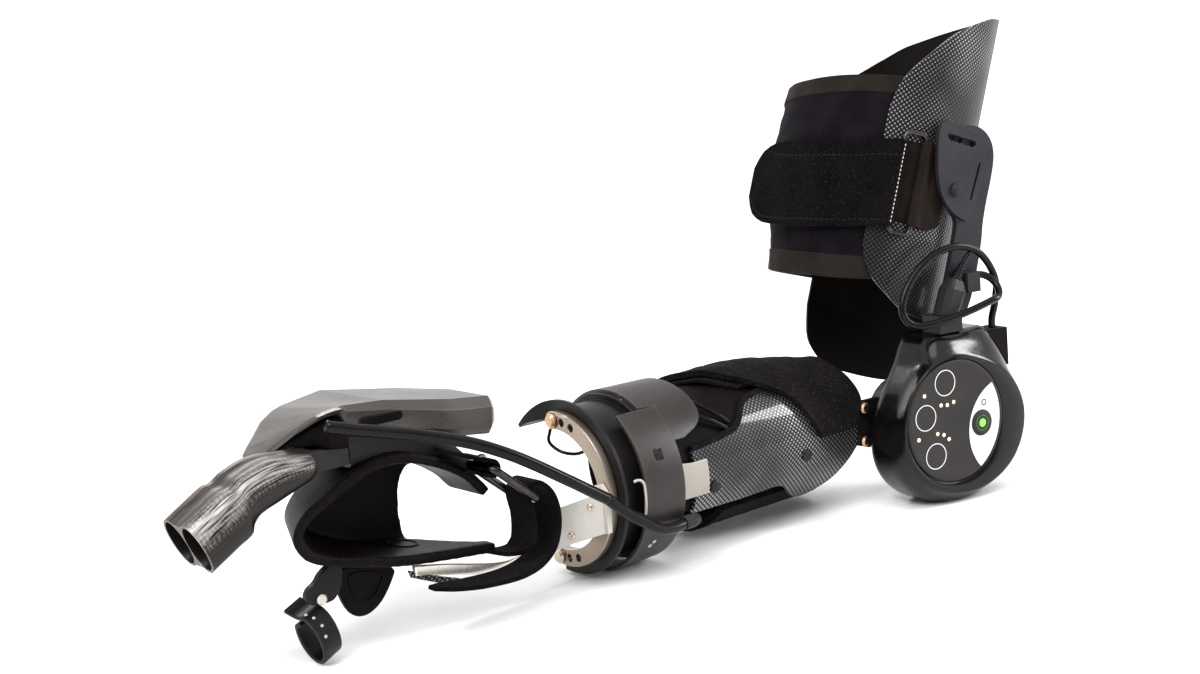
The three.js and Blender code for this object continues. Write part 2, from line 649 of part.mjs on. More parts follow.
// A flat outline of (u, radius) turned about the ring's axis.
function ringTurn(profile, low, high, steps) {
  const places = Array.from({ length: steps + 1 }, (_, i) => {
    const psi = lerp(low, high, i / steps);
    return (u, radius) => armPoint(psi, radius, u, RING_RISE);
  });
  return sweep(profile, places);
}

function rotatorRing() {
  const backRim = COVER.inner - 1;
  const frontRim = COVER.inner + 1;
  const { from, to, inner, web, flange } = RING;
  const profile = [
    [from, inner], [to, inner], [to, frontRim], [to - flange, frontRim], [to - flange, web],
    [from + flange, web], [from + flange, backRim], [from, backRim],
  ];
  return ringTurn(profile, RING.low, RING.high, 24);
}

function ringArc() {
  const middle = (ARC.inner + ARC.outer) / 2;
  const half = (ARC.outer - ARC.inner) / 2;
  const outline = [];
  const steps = 18;
  const push = (psi, radius) => outline.push(armPoint(psi, radius, 0, RING_RISE).slice(1));
  for (let i = 0; i <= steps; i += 1) push(lerp(ARC.low, ARC.high, i / steps), ARC.outer);
  for (const lift of [60, 0, -60]) {
    const [v, w] = armPoint(ARC.high, middle + half * Math.sin(degToRad(lift)), 0).slice(1);
    const ahead = half * Math.cos(degToRad(lift));
    const turn = degToRad(ARC.high);
    outline.push([v - ahead * Math.sin(turn), RING_RISE + w + ahead * Math.cos(turn)]);
  }
  for (let i = 0; i <= steps; i += 1) push(lerp(ARC.high, ARC.low, i / steps), ARC.inner);
  for (const lift of [-60, 0, 60]) {
    const [v, w] = armPoint(ARC.low, middle + half * Math.sin(degToRad(lift)), 0).slice(1);
    const ahead = half * Math.cos(degToRad(lift));
    const turn = degToRad(ARC.low);
    outline.push([v + ahead * Math.sin(turn), RING_RISE + w - ahead * Math.cos(turn)]);
  }
  const holes = [81, 69, -86, -74].map((psi) => {
    const [v, w] = armPoint(psi, middle, 0, RING_RISE).slice(1);
    return circle(2.3, 10, v, w);
  });
  return crossPlate(outline, ARC.thick, ARC.at, holes);
}

const arcFront = ARC.at + ARC.thick;
function arcBolt(psi) {
  const seat = armPoint(psi, (ARC.inner + ARC.outer) / 2, arcFront + GAP, RING_RISE);
  return head(4.4, 2.8, 14).rotateZ(-Math.PI / 2).translate(...seat);
}

// Bright plate from the arc in to the wrist pivot.
function wristBracket() {
  const base = [[30, -18], [44, -16], [44.5, 6], [40, 11], [33, 9]];
  const foot = crossPlate(base, 3, arcFront + GAP);
  const inward = [[arcFront + 1, 42], [arcFront + 4, 42], [WRIST.u + 9, 17], [WRIST.u + 6, 15]];
  const arm = sweep(
    [...inward].reverse(),
    [{ low: 7, tip: -4 }, { low: -16, tip: -26 }].map(({ low, tip }) => (u, v) => [
      u, v, lerp(low, tip, (42 - v) / 27),
    ]),
  );
  const lug = [[WRIST.u + 8, WRIST.w - 11], [WRIST.u + 8, WRIST.w + 11]];
  for (let i = 0; i <= 10; i += 1) {
    const turn = degToRad(lerp(90, 270, i / 10));
    lug.push([WRIST.u + 11 * Math.cos(turn), WRIST.w + 11 * Math.sin(turn)]);
  }
  const eye = sidePlate(lug, 3, 17);
  return join(foot, arm, eye);
}

add(forearm, 'rotator_cover', rotatorCover(), 'moulded');
add(forearm, 'rotator_hood', rotatorHood(), 'moulded');
add(forearm, 'link_bar', linkBar(), 'nickel');
const clip = box([COVER.to + GAP, COVER.to + 3], [COVER.inner - 2, COVER.outer], [-10, 9]);
add(forearm, 'cover_clip', clip, 'steel');
const GLAND = { from: [196, 51.5, -20.5], to: [207.4, 52, -20.6] };
add(forearm, 'cable_gland', turned([[0, 0], [3, 0], [4, 0.4], [4, 1], [0, 1]], GLAND.from, GLAND.to, 12), 'dark');

add(forearm, 'rotator_ring', rotatorRing(), 'dark');
add(forearm, 'ring_arc', ringArc(), 'aluminium');
add(forearm, 'arc_bolt_top', arcBolt(92), 'steel');
add(forearm, 'arc_bolt_bottom', arcBolt(-97), 'steel');
const RING_WIRE = [[249, -7, 35], [250, -8, 28], [247, -3, 22.5], [243, 6, 21], [240, 16, 25], [238, 24.7, 31.9]];
add(forearm, 'ring_wire', cord(RING_WIRE, 1, 6, 12), 'cable');
add(forearm, 'wrist_bracket', wristBracket(), 'nickel');

// Hand cable, in two lengths that meet beside the ring.
const CABLE_REAR = [
  [207.8, 52, -20.7], [217, 53.7, -20.6], [226.5, 55, -18.5], [237, 56, -12.3], [251, 56, -2.8], [262, 56, 6.8],
];
const CABLE_FRONT = [
  [262.6, 56, 7.4], [273, 55.3, 14], [285, 54, 22], [314.5, 48.5, 41], [336, 43.5, 51.8],
  [363, 38, 61.2], [394.5, 32, 69.8], [409, 29.2, 74],
];
add(forearm, 'hand_cable_rear', cord(CABLE_REAR, HAND_CABLE_RADIUS, 8, 12), 'cable');
add(forearm, 'hand_cable', cord(CABLE_FRONT, HAND_CABLE_RADIUS, 8, 22), 'cable');

// Hand piece: bright bar from the wrist pivot under the palm pad.
const HAND_BAR = [
  { u: 262, v: 12.5, w: -15 },
  { u: 276, v: 12.5, w: -20 },
  { u: 290, v: 14, w: -23.5 },
  { u: 306, v: 15.5, w: -23.5 },
  { u: 330, v: 16.5, w: -18.6 },
  { u: 362, v: 17, w: -12.4 },
];
function handBar() {
  const rod = sweep(
    roundedRectangle(3, 6, 1, 2),
    Array.from({ length: 10 }, (_, i) => {
      const u = lerp(HAND_BAR[1].u, HAND_BAR[5].u, i / 9);
      return (a, b) => [u, read(HAND_BAR, 'u', u, 'v') + a, read(HAND_BAR, 'u', u, 'w') + b];
    }),
  );
  const eye = sidePlate(circle(9, 20, WRIST.u, WRIST.w), 3, 14 - GAP);
  const neck = sidePlate([[264, -20], [279, -22.5], [279, -17.5], [266, -11]], 2.6, 13.5);
  return join(eye, neck, rod);
}

// Palm pad: a band bent in a U round the thumb web, with a wall closing its far side.
const PAD_PATH = [
  [311, 19], [322, 31], [341, 42.5], [363, 50], [384, 49.5], [398, 44], [412, 37.5], [424, 31],
  [430, 21], [425, 10], [412, 3], [392, -2.5], [372, -7.5], [342, -12], [312, -16],
];
const padCurve = new THREE.CatmullRomCurve3(PAD_PATH.map(([u, w]) => new THREE.Vector3(u, 0, w)));
const padPoint = (share, depth, v) => {
  const place = padCurve.getPoint(share);
  const ahead = padCurve.getTangent(share);
  const back = PAD.skew * smoothstep(place.x, 365, 430) * ((PAD.near - v) / (PAD.near - PAD.far));
  return [place.x - back + ahead.z * depth, v, place.z - ahead.x * depth];
};

function palmPad() {
  const surface = (depth) => (a, b) => {
    const narrow = 9 * (1 - smoothstep(a, 0, 0.2));
    return padPoint(a, depth, lerp(PAD.near - narrow / 3, PAD.far + narrow, b));
  };
  const band = wall(36, 2, surface(0), surface(PAD.wall));
  const inside = [];
  for (let share = 0.14; share <= 0.93; share += 0.0225) {
    const [u, , w] = padPoint(share, PAD.wall / 2, PAD.far);
    inside.push([u, w]);
  }
  return join(band, sidePlate(inside, PAD.web, PAD.far + PAD.web));
}

function blockLoft(sections, corner) {
  const outline = roundedRectangle(2, 2, corner, 2);
  const places = sections.map((row) => (a, b) => {
    const side = (a + 1) / 2;
    const level = (b + 1) / 2;
    const low = lerp(row.lowFar, row.lowNear, side);
    const high = lerp(row.highFar, row.highNear, side);
    return [row.u, lerp(row.far, row.near, side), lerp(low, high, level)];
  });
  return sweep(outline, places);
}

// Motor case on the back of the hand: far and near edges, and the levels at each.
const MOTOR_SECTIONS = [
  { u: 297, far: -14, near: 8, lowFar: 51, lowNear: 51, highFar: 60, highNear: 60 },
  { u: 303, far: -24, near: 15, lowFar: 46, lowNear: 46, highFar: 66, highNear: 66 },
  { u: 330, far: -36, near: 23, lowFar: 47.5, lowNear: 51, highFar: 72, highNear: 71 },
  { u: 372, far: -45, near: 25, lowFar: 52, lowNear: 62.5, highFar: 78, highNear: 79 },
  { u: 394, far: -48, near: 25, lowFar: 51, lowNear: 69.5, highFar: 73.5, highNear: 81 },
  { u: 404, far: -50, near: 25, lowFar: 50, lowNear: 73, highFar: 67, highNear: 80.5 },
  { u: 409, far: -50, near: -13, lowFar: 50, lowNear: 62, highFar: 60, highNear: 71 },
  { u: 418, far: -46, near: -18, lowFar: 49, lowNear: 55, highFar: 53.5, highNear: 59 },
];
const FRAME_SECTIONS = [
  { u: 342, far: -16, near: 15, lowFar: 45.5, lowNear: 45.5, highFar: 49, highNear: 52.5 },
  { u: 363, far: -20, near: 17, lowFar: 51.5, lowNear: 51.5, highFar: 53.6, highNear: 58.4 },
  { u: 372, far: -20, near: 17, lowFar: 51.7, lowNear: 51.7, highFar: 55, highNear: 60.4 },
  { u: 391, far: -20, near: 17, lowFar: 49.4, lowNear: 49.4, highFar: 56, highNear: 65.6 },
];

// Knuckle fork under the case, and the link that carries the finger tubes.
function fingerFork() {
  const cheek = [[391.3, 50], [402, 49.6]];
  for (let i = 0; i <= 8; i += 1) {
    const turn = degToRad(lerp(-110, 110, i / 8));
    cheek.push([KNUCKLE.u + 5.4 * Math.cos(turn), KNUCKLE.w + 5.4 * Math.sin(turn)]);
  }
  cheek.push([391.3, 58]);
  const bridge = box([391.3, 399], [-8.5, 16.5], [50.2, 57.5]);
  return join(bridge, sidePlate(cheek, 4, -4.5), sidePlate(cheek, 4, 16.5));
}

function fingerLink() {
  const knuckle = disc(4.4, -4.2, 12.2, KNUCKLE.u, KNUCKLE.w, 16);
  return join(knuckle, box([KNUCKLE.u + 1, 414.2], [-4.2, 12.2], [KNUCKLE.w - 4, KNUCKLE.w + 4]));
}

const TUBE_PATH = [
  { u: 414.5, w: 53, slope: 0, size: 0.9 },
  { u: 428, w: 52.3, slope: -8, size: 1 },
  { u: 440, w: 48.5, slope: -24, size: 1 },
  { u: 450, w: 43, slope: -30, size: 1 },
  { u: 476, w: 28, slope: -30, size: 1 },
];
function fingerTubes() {
  const placeAt = (row, size) => (a, b) => {
    const turn = degToRad(row.slope);
    return [row.u - b * size * Math.sin(turn), TUBE.middle + a * size, row.w + b * size * Math.cos(turn)];
  };
  const outline = [];
  for (let side = 0; side < 2; side += 1) {
    for (let i = 0; i <= 8; i += 1) {
      const turn = degToRad(lerp(-65, 65, i / 8) + side * 180);
      const middle = (side ? -1 : 1) * (TUBE.pitch / 2);
      outline.push([middle + TUBE.outer * Math.cos(turn), TUBE.outer * Math.sin(turn)]);
    }
  }
  const body = sweep(outline, TUBE_PATH.map((row) => placeAt(row, row.size)));
  const bores = [-1, 1].map((side) => {
    const open = TUBE_PATH[TUBE_PATH.length - 1];
    const rows = [...TUBE_PATH.slice(1), { ...open, u: open.u + 4.3, w: open.w - 2.5 }];
    return sweep(circle(TUBE.bore, 12, (side * TUBE.pitch) / 2), rows.map((row) => placeAt(row, 1)));
  });
  return cut(body, ...bores);
}

// Strap from the loop on the pad round the side of the hand to its free tail.
const HAND_STRAP = [
  [304.5, 17.6], [300.5, 19.3], [296, 18.4], [289.5, 13], [283.5, 4.5], [280, -5], [280.4, -14], [286, -24],
  [296, -30.5], [311, -32], [336, -28], [361, -22.5],
];
function handStrap() {
  const path = new THREE.CatmullRomCurve3(HAND_STRAP.map(([u, w]) => new THREE.Vector3(u, 0, w)));
  const surface = (depth) => (a, b) => {
    const place = path.getPoint(a);
    const ahead = path.getTangent(a);
    const tail = 6 * smoothstep(a, 0.9, 1);
    return [place.x - ahead.z * depth, lerp(22.2 + tail, 41.8 - tail, b), place.z + ahead.x * depth];
  };
  return wall(24, 1, surface(0), surface(2.4));
}

function handStrapLoop() {
  const along = new THREE.Vector3(-0.763, 0, -0.647);
  const outline = roundedRectangle(24, 34, 4, 3);
  const centre = new THREE.Vector3(312, 32, 25);
  return wireLoop(outline, 1.8, 6, centre, new THREE.Vector3(0, 1, 0), along);
}

// Thumb: a tongue under the pad, and an arm with a small strap ring.
function thumbPad() {
  const outline = [
    [401, -1.4], [364, -10.4], [369, -20], [376, -28.5], [384, -32.6], [391, -32], [396, -27], [400, -16],
  ];
  return sidePlate(outline, 4.5, 6);
}

const THUMB_RING = { centre: [413.9, 5.6, -33.7], ahead: [0.9, 0.2, -0.3], across: 9.2, upward: 14.5, width: 12, wall: 2.4 };
function thumbRing() {
  const flare = [{ alpha: 54, out: 9 }, { alpha: 66, out: 3.4 }, { alpha: 80, out: 0.3 }, { alpha: 92, out: 0 }];
  const ahead = new THREE.Vector3(...THUMB_RING.ahead).normalize();
  const side = new THREE.Vector3(ahead.y, -ahead.x, 0).normalize();
  const upright = side.clone().cross(ahead);
  const surface = (depth) => (a, b) => {
    const alpha = lerp(54, 400, a);
    const turn = degToRad(alpha);
    const oval = 1 / Math.hypot(Math.cos(turn) / THUMB_RING.across, Math.sin(turn) / THUMB_RING.upward);
    const radius = oval + read(flare, 'alpha', alpha, 'out') - depth;
    const point = new THREE.Vector3(...THUMB_RING.centre)
      .addScaledVector(side, radius * Math.cos(turn))
      .addScaledVector(ahead, (b - 0.5) * THUMB_RING.width)
      .addScaledVector(upright, radius * Math.sin(turn));
    return [point.x, point.y, Math.max(point.z, TABLE + depth)];
  };
  return wall(28, 1, surface(0), surface(THUMB_RING.wall));
}

const THUMB_ARM = [[407, 7, 1.1], [407.4, 7, -2.5], [410.2, 7.4, -8], [412.6, 7.4, -12.6], [413, 7.4, -17.7]];

add(forearm, 'hand_bar', handBar(), 'nickel');
add(forearm, 'palm_pad', palmPad(), 'foam');
add(forearm, 'hand_frame', blockLoft(FRAME_SECTIONS, 0.2), 'dark');
add(forearm, 'hand_motor', blockLoft(MOTOR_SECTIONS, 0.25), 'moulded');
add(forearm, 'hand_strap', handStrap(), 'pile');
add(forearm, 'hand_strap_loop', handStrapLoop(), 'dark');
add(forearm, 'thumb_pad', thumbPad(), 'foam');
add(forearm, 'thumb_arm', cord(THUMB_ARM, 3.4, 8, 8), 'dark');
add(forearm, 'thumb_ring', thumbRing(), 'dark');
add(forearm, 'thumb_rivet', head(2.8, 1.6, 10).translate(412.9, 11.5, -15), 'nickel');
add(forearm, 'finger_fork', fingerFork(), 'dark');
add(forearm, 'finger_link', fingerLink(), 'dark');
add(forearm, 'finger_tubes', fingerTubes(), 'twill');

const orthosis = new THREE.Group();
elbow.position.set(-ORIGIN.x, -ORIGIN.y, -TABLE);
orthosis.add(elbow);

export default orthosis;
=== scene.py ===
"""Looks of the powered arm orthosis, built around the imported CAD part.

Lengths in the tables are millimetres in the frame of the elbow axis, as in the part's source.
The pieces themselves are in metres in the part's own frame.
"""

import math
from functools import partial

import bmesh
import bpy
import numpy as np
from mathutils import Matrix, Vector, noise


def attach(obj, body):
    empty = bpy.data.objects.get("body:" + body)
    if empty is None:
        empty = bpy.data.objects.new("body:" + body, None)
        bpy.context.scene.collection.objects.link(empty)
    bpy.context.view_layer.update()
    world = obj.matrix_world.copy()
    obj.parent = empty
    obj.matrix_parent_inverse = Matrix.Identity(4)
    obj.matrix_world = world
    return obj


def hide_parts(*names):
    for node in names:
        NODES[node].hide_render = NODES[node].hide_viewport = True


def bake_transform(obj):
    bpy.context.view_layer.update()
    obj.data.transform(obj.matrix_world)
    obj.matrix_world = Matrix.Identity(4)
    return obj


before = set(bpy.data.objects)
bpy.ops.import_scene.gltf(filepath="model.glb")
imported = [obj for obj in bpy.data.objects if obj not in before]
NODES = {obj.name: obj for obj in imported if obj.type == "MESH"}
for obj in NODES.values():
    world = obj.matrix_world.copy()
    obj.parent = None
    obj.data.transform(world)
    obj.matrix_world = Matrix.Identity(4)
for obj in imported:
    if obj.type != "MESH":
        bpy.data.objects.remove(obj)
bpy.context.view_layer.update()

# Camera: where it stands, and its right, up and backward directions
CAMERA_AT = (0.45967, 0.80071, 0.27820)
CAMERA_RIGHT = (-0.86605, 0.49242, -0.08650)
CAMERA_UP = (-0.15424, -0.09853, 0.98321)
CAMERA_BACK = (0.47553, 0.86485, 0.16121)
CAMERA_LENS = 48
CAMERA_SENSOR = 36

right, up, back = (Vector(v).normalized() for v in (CAMERA_RIGHT, CAMERA_UP, CAMERA_BACK))
camera = bpy.data.objects.new("camera", bpy.data.cameras.new("camera"))
camera.data.lens = CAMERA_LENS
camera.data.sensor_width = CAMERA_SENSOR
camera.matrix_world = Matrix.Translation(CAMERA_AT) @ Matrix((right, up, back)).transposed().to_4x4()
bpy.context.collection.objects.link(camera)
bpy.context.scene.camera = camera

# Frames of the upper arm and the forearm
MM = 0.001
ORIGIN = Vector((181.83, 21.09, -50))
LEAN = math.radians(18.5)
CARRY = math.radians(10)
CUFF_CENTRE = 32


def row(x, y, z):
    return (Vector((x, y, z)) - ORIGIN) * MM


def lean(s, y, t):
    return row(s * math.cos(LEAN) - t * math.sin(LEAN), y, s * math.sin(LEAN) + t * math.cos(LEAN))


def cuff(phi, radius, t):
    turn = math.radians(phi)
    return lean(CUFF_CENTRE + radius * math.sin(turn), radius * math.cos(turn), t)


def uvw(u, v, w):
    return row(u * math.cos(CARRY) - v * math.sin(CARRY), u * math.sin(CARRY) + v * math.cos(CARRY), w)


def arm(psi, radius, u, rise=0):
    turn = math.radians(psi)
    return uvw(u, radius * math.cos(turn), rise + radius * math.sin(turn))


def lerp(a, b, x):
    return a + (b - a) * x


def step(x, low, high):
    x = min(max((x - low) / (high - low), 0), 1)
    return x * x * (3 - 2 * x)


def read(table, key, column=1):
    """Smooth reading of a table sorted by its first column."""
    last = len(table) - 1
    if key <= table[0][0]:
        return table[0][column]
    if key >= table[last][0]:
        return table[last][column]
    i = max(k for k in range(last) if table[k][0] <= key)

    def slope(k):
        before, after = table[max(k - 1, 0)], table[min(k + 1, last)]
        return (after[column] - before[column]) / (after[0] - before[0])

    span = table[i + 1][0] - table[i][0]
    x = (key - table[i][0]) / span
    rise = table[i + 1][column] - table[i][column]
    bend = (1 - x) * (slope(i) * span - rise) + x * (rise - slope(i + 1) * span)
    return table[i][column] + rise * x + x * (1 - x) * bend


def spline(points, spacing):
    """Evenly spaced points on a centripetal curve through the given ones."""
    given = [np.array(p, float) for p in points]
    given = [2 * given[0] - given[1], *given, 2 * given[-1] - given[-2]]
    fine = []
    for p0, p1, p2, p3 in zip(given, given[1:], given[2:], given[3:]):
        k1 = np.linalg.norm(p1 - p0) ** 0.5
        k2 = k1 + np.linalg.norm(p2 - p1) ** 0.5
        k3 = k2 + np.linalg.norm(p3 - p2) ** 0.5
        for k in np.linspace(k1, k2, 24, endpoint=False):
            a1 = (k1 - k) / k1 * p0 + k / k1 * p1
            a2 = (k2 - k) / (k2 - k1) * p1 + (k - k1) / (k2 - k1) * p2
            a3 = (k3 - k) / (k3 - k2) * p2 + (k - k2) / (k3 - k2) * p3
            b1 = (k2 - k) / k2 * a1 + k / k2 * a2
            b2 = (k3 - k) / (k3 - k1) * a2 + (k - k1) / (k3 - k1) * a3
            fine.append((k2 - k) / (k2 - k1) * b1 + (k - k1) / (k2 - k1) * b2)
    fine.append(given[-2])
    fine = np.array(fine)
    along = np.r_[0, np.cumsum(np.linalg.norm(np.diff(fine, axis=0), axis=1))]
    places = np.linspace(0, along[-1], max(int(round(along[-1] / spacing)), 2) + 1)
    return np.stack([np.interp(places, along, fine[:, k]) for k in range(fine.shape[1])], 1)


def path_length(points):
    return sum((b - a).length for a, b in zip(points, points[1:]))


# Mesh building


def mesh_object(name, points, faces, uv=None):
    mesh = bpy.data.meshes.new(name)
    mesh.from_pydata([tuple(p) for p in points], [], faces)
    if uv:
        layer = mesh.uv_layers.new(name="UVMap")
        for loop in mesh.loops:
            layer.data[loop.index].uv = uv[loop.vertex_index]
    shell = bmesh.new()
    shell.from_mesh(mesh)
    bmesh.ops.recalc_face_normals(shell, faces=shell.faces)
    shell.to_mesh(mesh)
    shell.free()
    mesh.shade_smooth()
    obj = bpy.data.objects.new(name, mesh)
    bpy.context.collection.objects.link(obj)
    return obj


def wall(name, cols, rows, outer, inner, uv=None):
    """A closed wall between two surfaces, each a function of two numbers from 0 to 1."""
    spots = [(i / cols, j / rows) for i in range(cols + 1) for j in range(rows + 1)]
    points = [outer(a, b) for a, b in spots] + [inner(a, b) for a, b in spots]
    coords = [uv(a, b) for a, b in spots] * 2 if uv else None

    def at(side, i, j):
        return (side * (cols + 1) + i) * (rows + 1) + j

    faces = []
    for i in range(cols):
        for j in range(rows):
            faces.append((at(0, i, j), at(0, i + 1, j), at(0, i + 1, j + 1), at(0, i, j + 1)))
            faces.append((at(1, i, j), at(1, i, j + 1), at(1, i + 1, j + 1), at(1, i + 1, j)))
        faces.append((at(1, i, 0), at(1, i + 1, 0), at(0, i + 1, 0), at(0, i, 0)))
        faces.append((at(0, i, rows), at(0, i + 1, rows), at(1, i + 1, rows), at(1, i, rows)))
    for j in range(rows):
        faces.append((at(0, 0, j), at(0, 0, j + 1), at(1, 0, j + 1), at(1, 0, j)))
        faces.append((at(1, cols, j), at(1, cols, j + 1), at(0, cols, j + 1), at(0, cols, j)))
    return mesh_object(name, points, faces, coords)


def stack(name, rings, loop=False, uv=None):
    """A closed skin over rings of equal count; a loop joins the last ring to the first."""
    count = len(rings[0])
    points = [p for ring in rings for p in ring]
    faces = []
    for i in range(len(rings) if loop else len(rings) - 1):
        here, there = i * count, (i + 1) % len(rings) * count
        for j in range(count):
            k = (j + 1) % count
            faces.append((here + j, here + k, there + k, there + j))
    if not loop:
        faces.append(tuple(range(count)))
        faces.append(tuple(reversed(range(len(points) - count, len(points)))))
    return mesh_object(name, points, faces, uv)


def sweep(name, outline, places, loop=False, uv=None):
    """A flat outline carried through places, each of which maps (a, b) into space."""
    return stack(name, [[place(a, b) for a, b in outline] for place in places], loop, uv)


def circle(radius, sides, x=0, y=0):
    turns = [2 * math.pi * i / sides for i in range(sides)]
    return [(x + radius * math.cos(t), y + radius * math.sin(t)) for t in turns]


def rounded(width, height, corner, steps=6):
    points = []
    for quarter in range(4):
        x = (width / 2 - corner) * (1 if quarter in (0, 3) else -1)
        y = (height / 2 - corner) * (1 if quarter < 2 else -1)
        for i in range(steps + 1):
            turn = (quarter + i / steps) * math.pi / 2
            points.append((x + corner * math.cos(turn), y + corner * math.sin(turn)))
    return points


def tube(name, points, radius, sides=16, loop=False):
    """A round cord along points in space; its UV runs along it and round it in millimetres."""
    points = [Vector(p) for p in points]
    count = len(points)
    ahead = []
    for i in range(count):
        after = points[(i + 1) % count] if loop or i < count - 1 else points[i]
        before = points[i - 1] if loop or i > 0 else points[i]
        ahead.append((after - before).normalized())
    side = ahead[0].orthogonal().normalized()
    places = []
    for place, along in zip(points, ahead):
        side = (side - along * side.dot(along)).normalized()
        other = along.cross(side)
        places.append(lambda a, b, p=place, x=side, y=other: p + x * a + y * b)
    uv = []
    run = 0
    for i in range(count):
        run += (points[i] - points[max(i - 1, 0)]).length / MM
        uv += [(run, k / sides * 2 * math.pi * radius / MM) for k in range(sides)]
    return sweep(name, circle(radius, sides), places, loop, uv)


def ribbon(name, mids, place, rows, spacing=1.0):
    """A flat band along mids, rows of (a, b, thickness, low, high) in a plane of a and b."""
    path = spline([m[:2] for m in mids], spacing)
    along = np.r_[0, np.cumsum(np.linalg.norm(np.diff(path, axis=0), axis=1))]
    knots = [along[np.argmin(np.linalg.norm(path - np.array(m[:2]), axis=1))] for m in mids]
    knots = np.maximum.accumulate(np.array(knots) + np.arange(len(knots)) * 1e-6)
    extra = [np.interp(along, knots, [m[k] for m in mids]) for k in (2, 3, 4)]
    ahead = np.gradient(path, axis=0)
    ahead /= np.linalg.norm(ahead, axis=1)[:, None]
    count = len(path) - 1

    def surface(side):
        def at(a, b):
            i = int(round(a * count))
            half = side * extra[0][i] / 2
            x, y = path[i][0] - ahead[i][1] * half, path[i][1] + ahead[i][0] * half
            return place(x, y, lerp(extra[1][i], extra[2][i], b))

        return at

    def uv(a, b):
        i = int(round(a * count))
        return along[i], (extra[2][i] - extra[1][i]) * b

    return wall(name, count, rows, surface(1), surface(-1), uv)


def plate(name, outlines, thickness, place, bevel=0.4):
    """A flat plate with holes; place maps its outline (a, b) and depth c into space."""
    data = bpy.data.curves.new(name, "CURVE")
    data.dimensions = "2D"
    data.fill_mode = "BOTH"
    data.extrude = thickness / 2 - bevel
    data.bevel_depth = bevel
    data.bevel_resolution = 2
    data.offset = -bevel
    for outline in outlines:
        line = data.splines.new("POLY")
        line.points.add(len(outline) - 1)
        for point, (x, y) in zip(line.points, outline):
            point.co = (x, y, 0, 1)
        line.use_cyclic_u = True
    curve = bpy.data.objects.new(name, data)
    bpy.context.collection.objects.link(curve)
    graph = bpy.context.evaluated_depsgraph_get()
    mesh = bpy.data.meshes.new_from_object(curve.evaluated_get(graph))
    bpy.data.objects.remove(curve)
    bpy.data.curves.remove(data)
    points = [place(v.co.x, v.co.y, v.co.z + thickness / 2) for v in mesh.vertices]
    uv = [(v.co.x, v.co.y) for v in mesh.vertices]
    faces = [tuple(p.vertices) for p in mesh.polygons]
    bpy.data.meshes.remove(mesh)
    obj = weld(mesh_object(name, points, faces, uv))
    flat = obj.modifiers.new("flat", "WEIGHTED_NORMAL")
    flat.weight = 100
    return obj


def weld(obj, distance=1e-6):
    shell = bmesh.new()
    shell.from_mesh(obj.data)
    bmesh.ops.remove_doubles(shell, verts=shell.verts, dist=distance)
    bmesh.ops.recalc_face_normals(shell, faces=shell.faces)
    shell.to_mesh(obj.data)
    shell.free()
    return obj


def lathe(name, profile, start, end, sides=32):
    """A turned piece on the line from start to end; profile rows are (radius mm, share)."""
    start, end = Vector(start), Vector(end)
    turn = (end - start).to_track_quat("Z", "X")
    places = []
    for radius, share in profile:
        middle = start.lerp(end, share)
        places.append(lambda a, b, m=middle, r=radius: m + turn @ Vector((a * r * MM, b * r * MM, 0)))
    return sweep(name, circle(1, sides), places)


def turned(name, profile, spots, sides):
    """Several small turned pieces as one object; spots hold the start and end of each."""
    return merge(name, *[lathe(f"{name}_{i}", profile, *ends, sides) for i, ends in enumerate(spots)])


def round_corners(outline, times=3):
    """Corner cutting: each pass replaces every corner by two points near it."""
    points = [Vector(p) for p in outline]
    for _ in range(times):
        pairs = zip(points, points[1:] + points[:1])
        points = [p for a, b in pairs for p in (a.lerp(b, 0.25), a.lerp(b, 0.75))]
    return [tuple(p) for p in points]


def merge(name, *objects):
    """One object from several that stand in the same frame."""
    joined = bmesh.new()
    for obj in objects:
        joined.from_mesh(obj.data)
    mesh = bpy.data.meshes.new(name)
    joined.to_mesh(mesh)
    joined.free()
    for obj in objects:
        bpy.data.objects.remove(obj)
    mesh.shade_smooth()
    obj = bpy.data.objects.new(name, mesh)
    bpy.context.collection.objects.link(obj)
    return obj


def soften(obj, width, segments=3, angle=40):
    edge = obj.modifiers.new("edge", "BEVEL")
    edge.width = width * MM
    edge.segments = segments
    edge.limit_method = "ANGLE"
    edge.angle_limit = math.radians(angle)
    edge.harden_normals = True
    return obj


def baked(obj):
    """Applies the modifiers of a piece to its mesh."""
    graph = bpy.context.evaluated_depsgraph_get()
    mesh = bpy.data.meshes.new_from_object(obj.evaluated_get(graph))
    obj.modifiers.clear()
    obj.data = mesh
    obj.data.shade_smooth()
    return obj


def wobble(a, b, seed):
    return noise.noise(Vector((a, b, seed)))


# Materials


def feed(tree, node, inputs):
    """Links sockets to a node's inputs, and sets plain values on them."""
    for key, value in inputs.items():
        if isinstance(value, bpy.types.NodeSocket):
            tree.links.new(value, node.inputs[key])
        else:
            node.inputs[key].default_value = value


def add(tree, kind, inputs=None, **settings):
    node = tree.nodes.new(kind)
    for key, value in settings.items():
        setattr(node, key, value)
    feed(tree, node, inputs or {})
    return node


def math_node(tree, operation, a, b=0.0):
    return add(tree, "ShaderNodeMath", {0: a, 1: b}, operation=operation).outputs[0]


def span(tree, value, low, high, to_low=0.0, to_high=1.0):
    inputs = {"Value": value, "From Min": low, "From Max": high, "To Min": to_low, "To Max": to_high}
    return add(tree, "ShaderNodeMapRange", inputs).outputs["Result"]


# Places of the colour sockets in a Mix node
MIX_A, MIX_B, MIX_RESULT = 6, 7, 2


def mix(tree, factor, a, b):
    a, b = (c if isinstance(c, bpy.types.NodeSocket) else (*c, 1) for c in (a, b))
    inputs = {0: factor, MIX_A: a, MIX_B: b}
    return add(tree, "ShaderNodeMix", inputs, data_type="RGBA").outputs[MIX_RESULT]


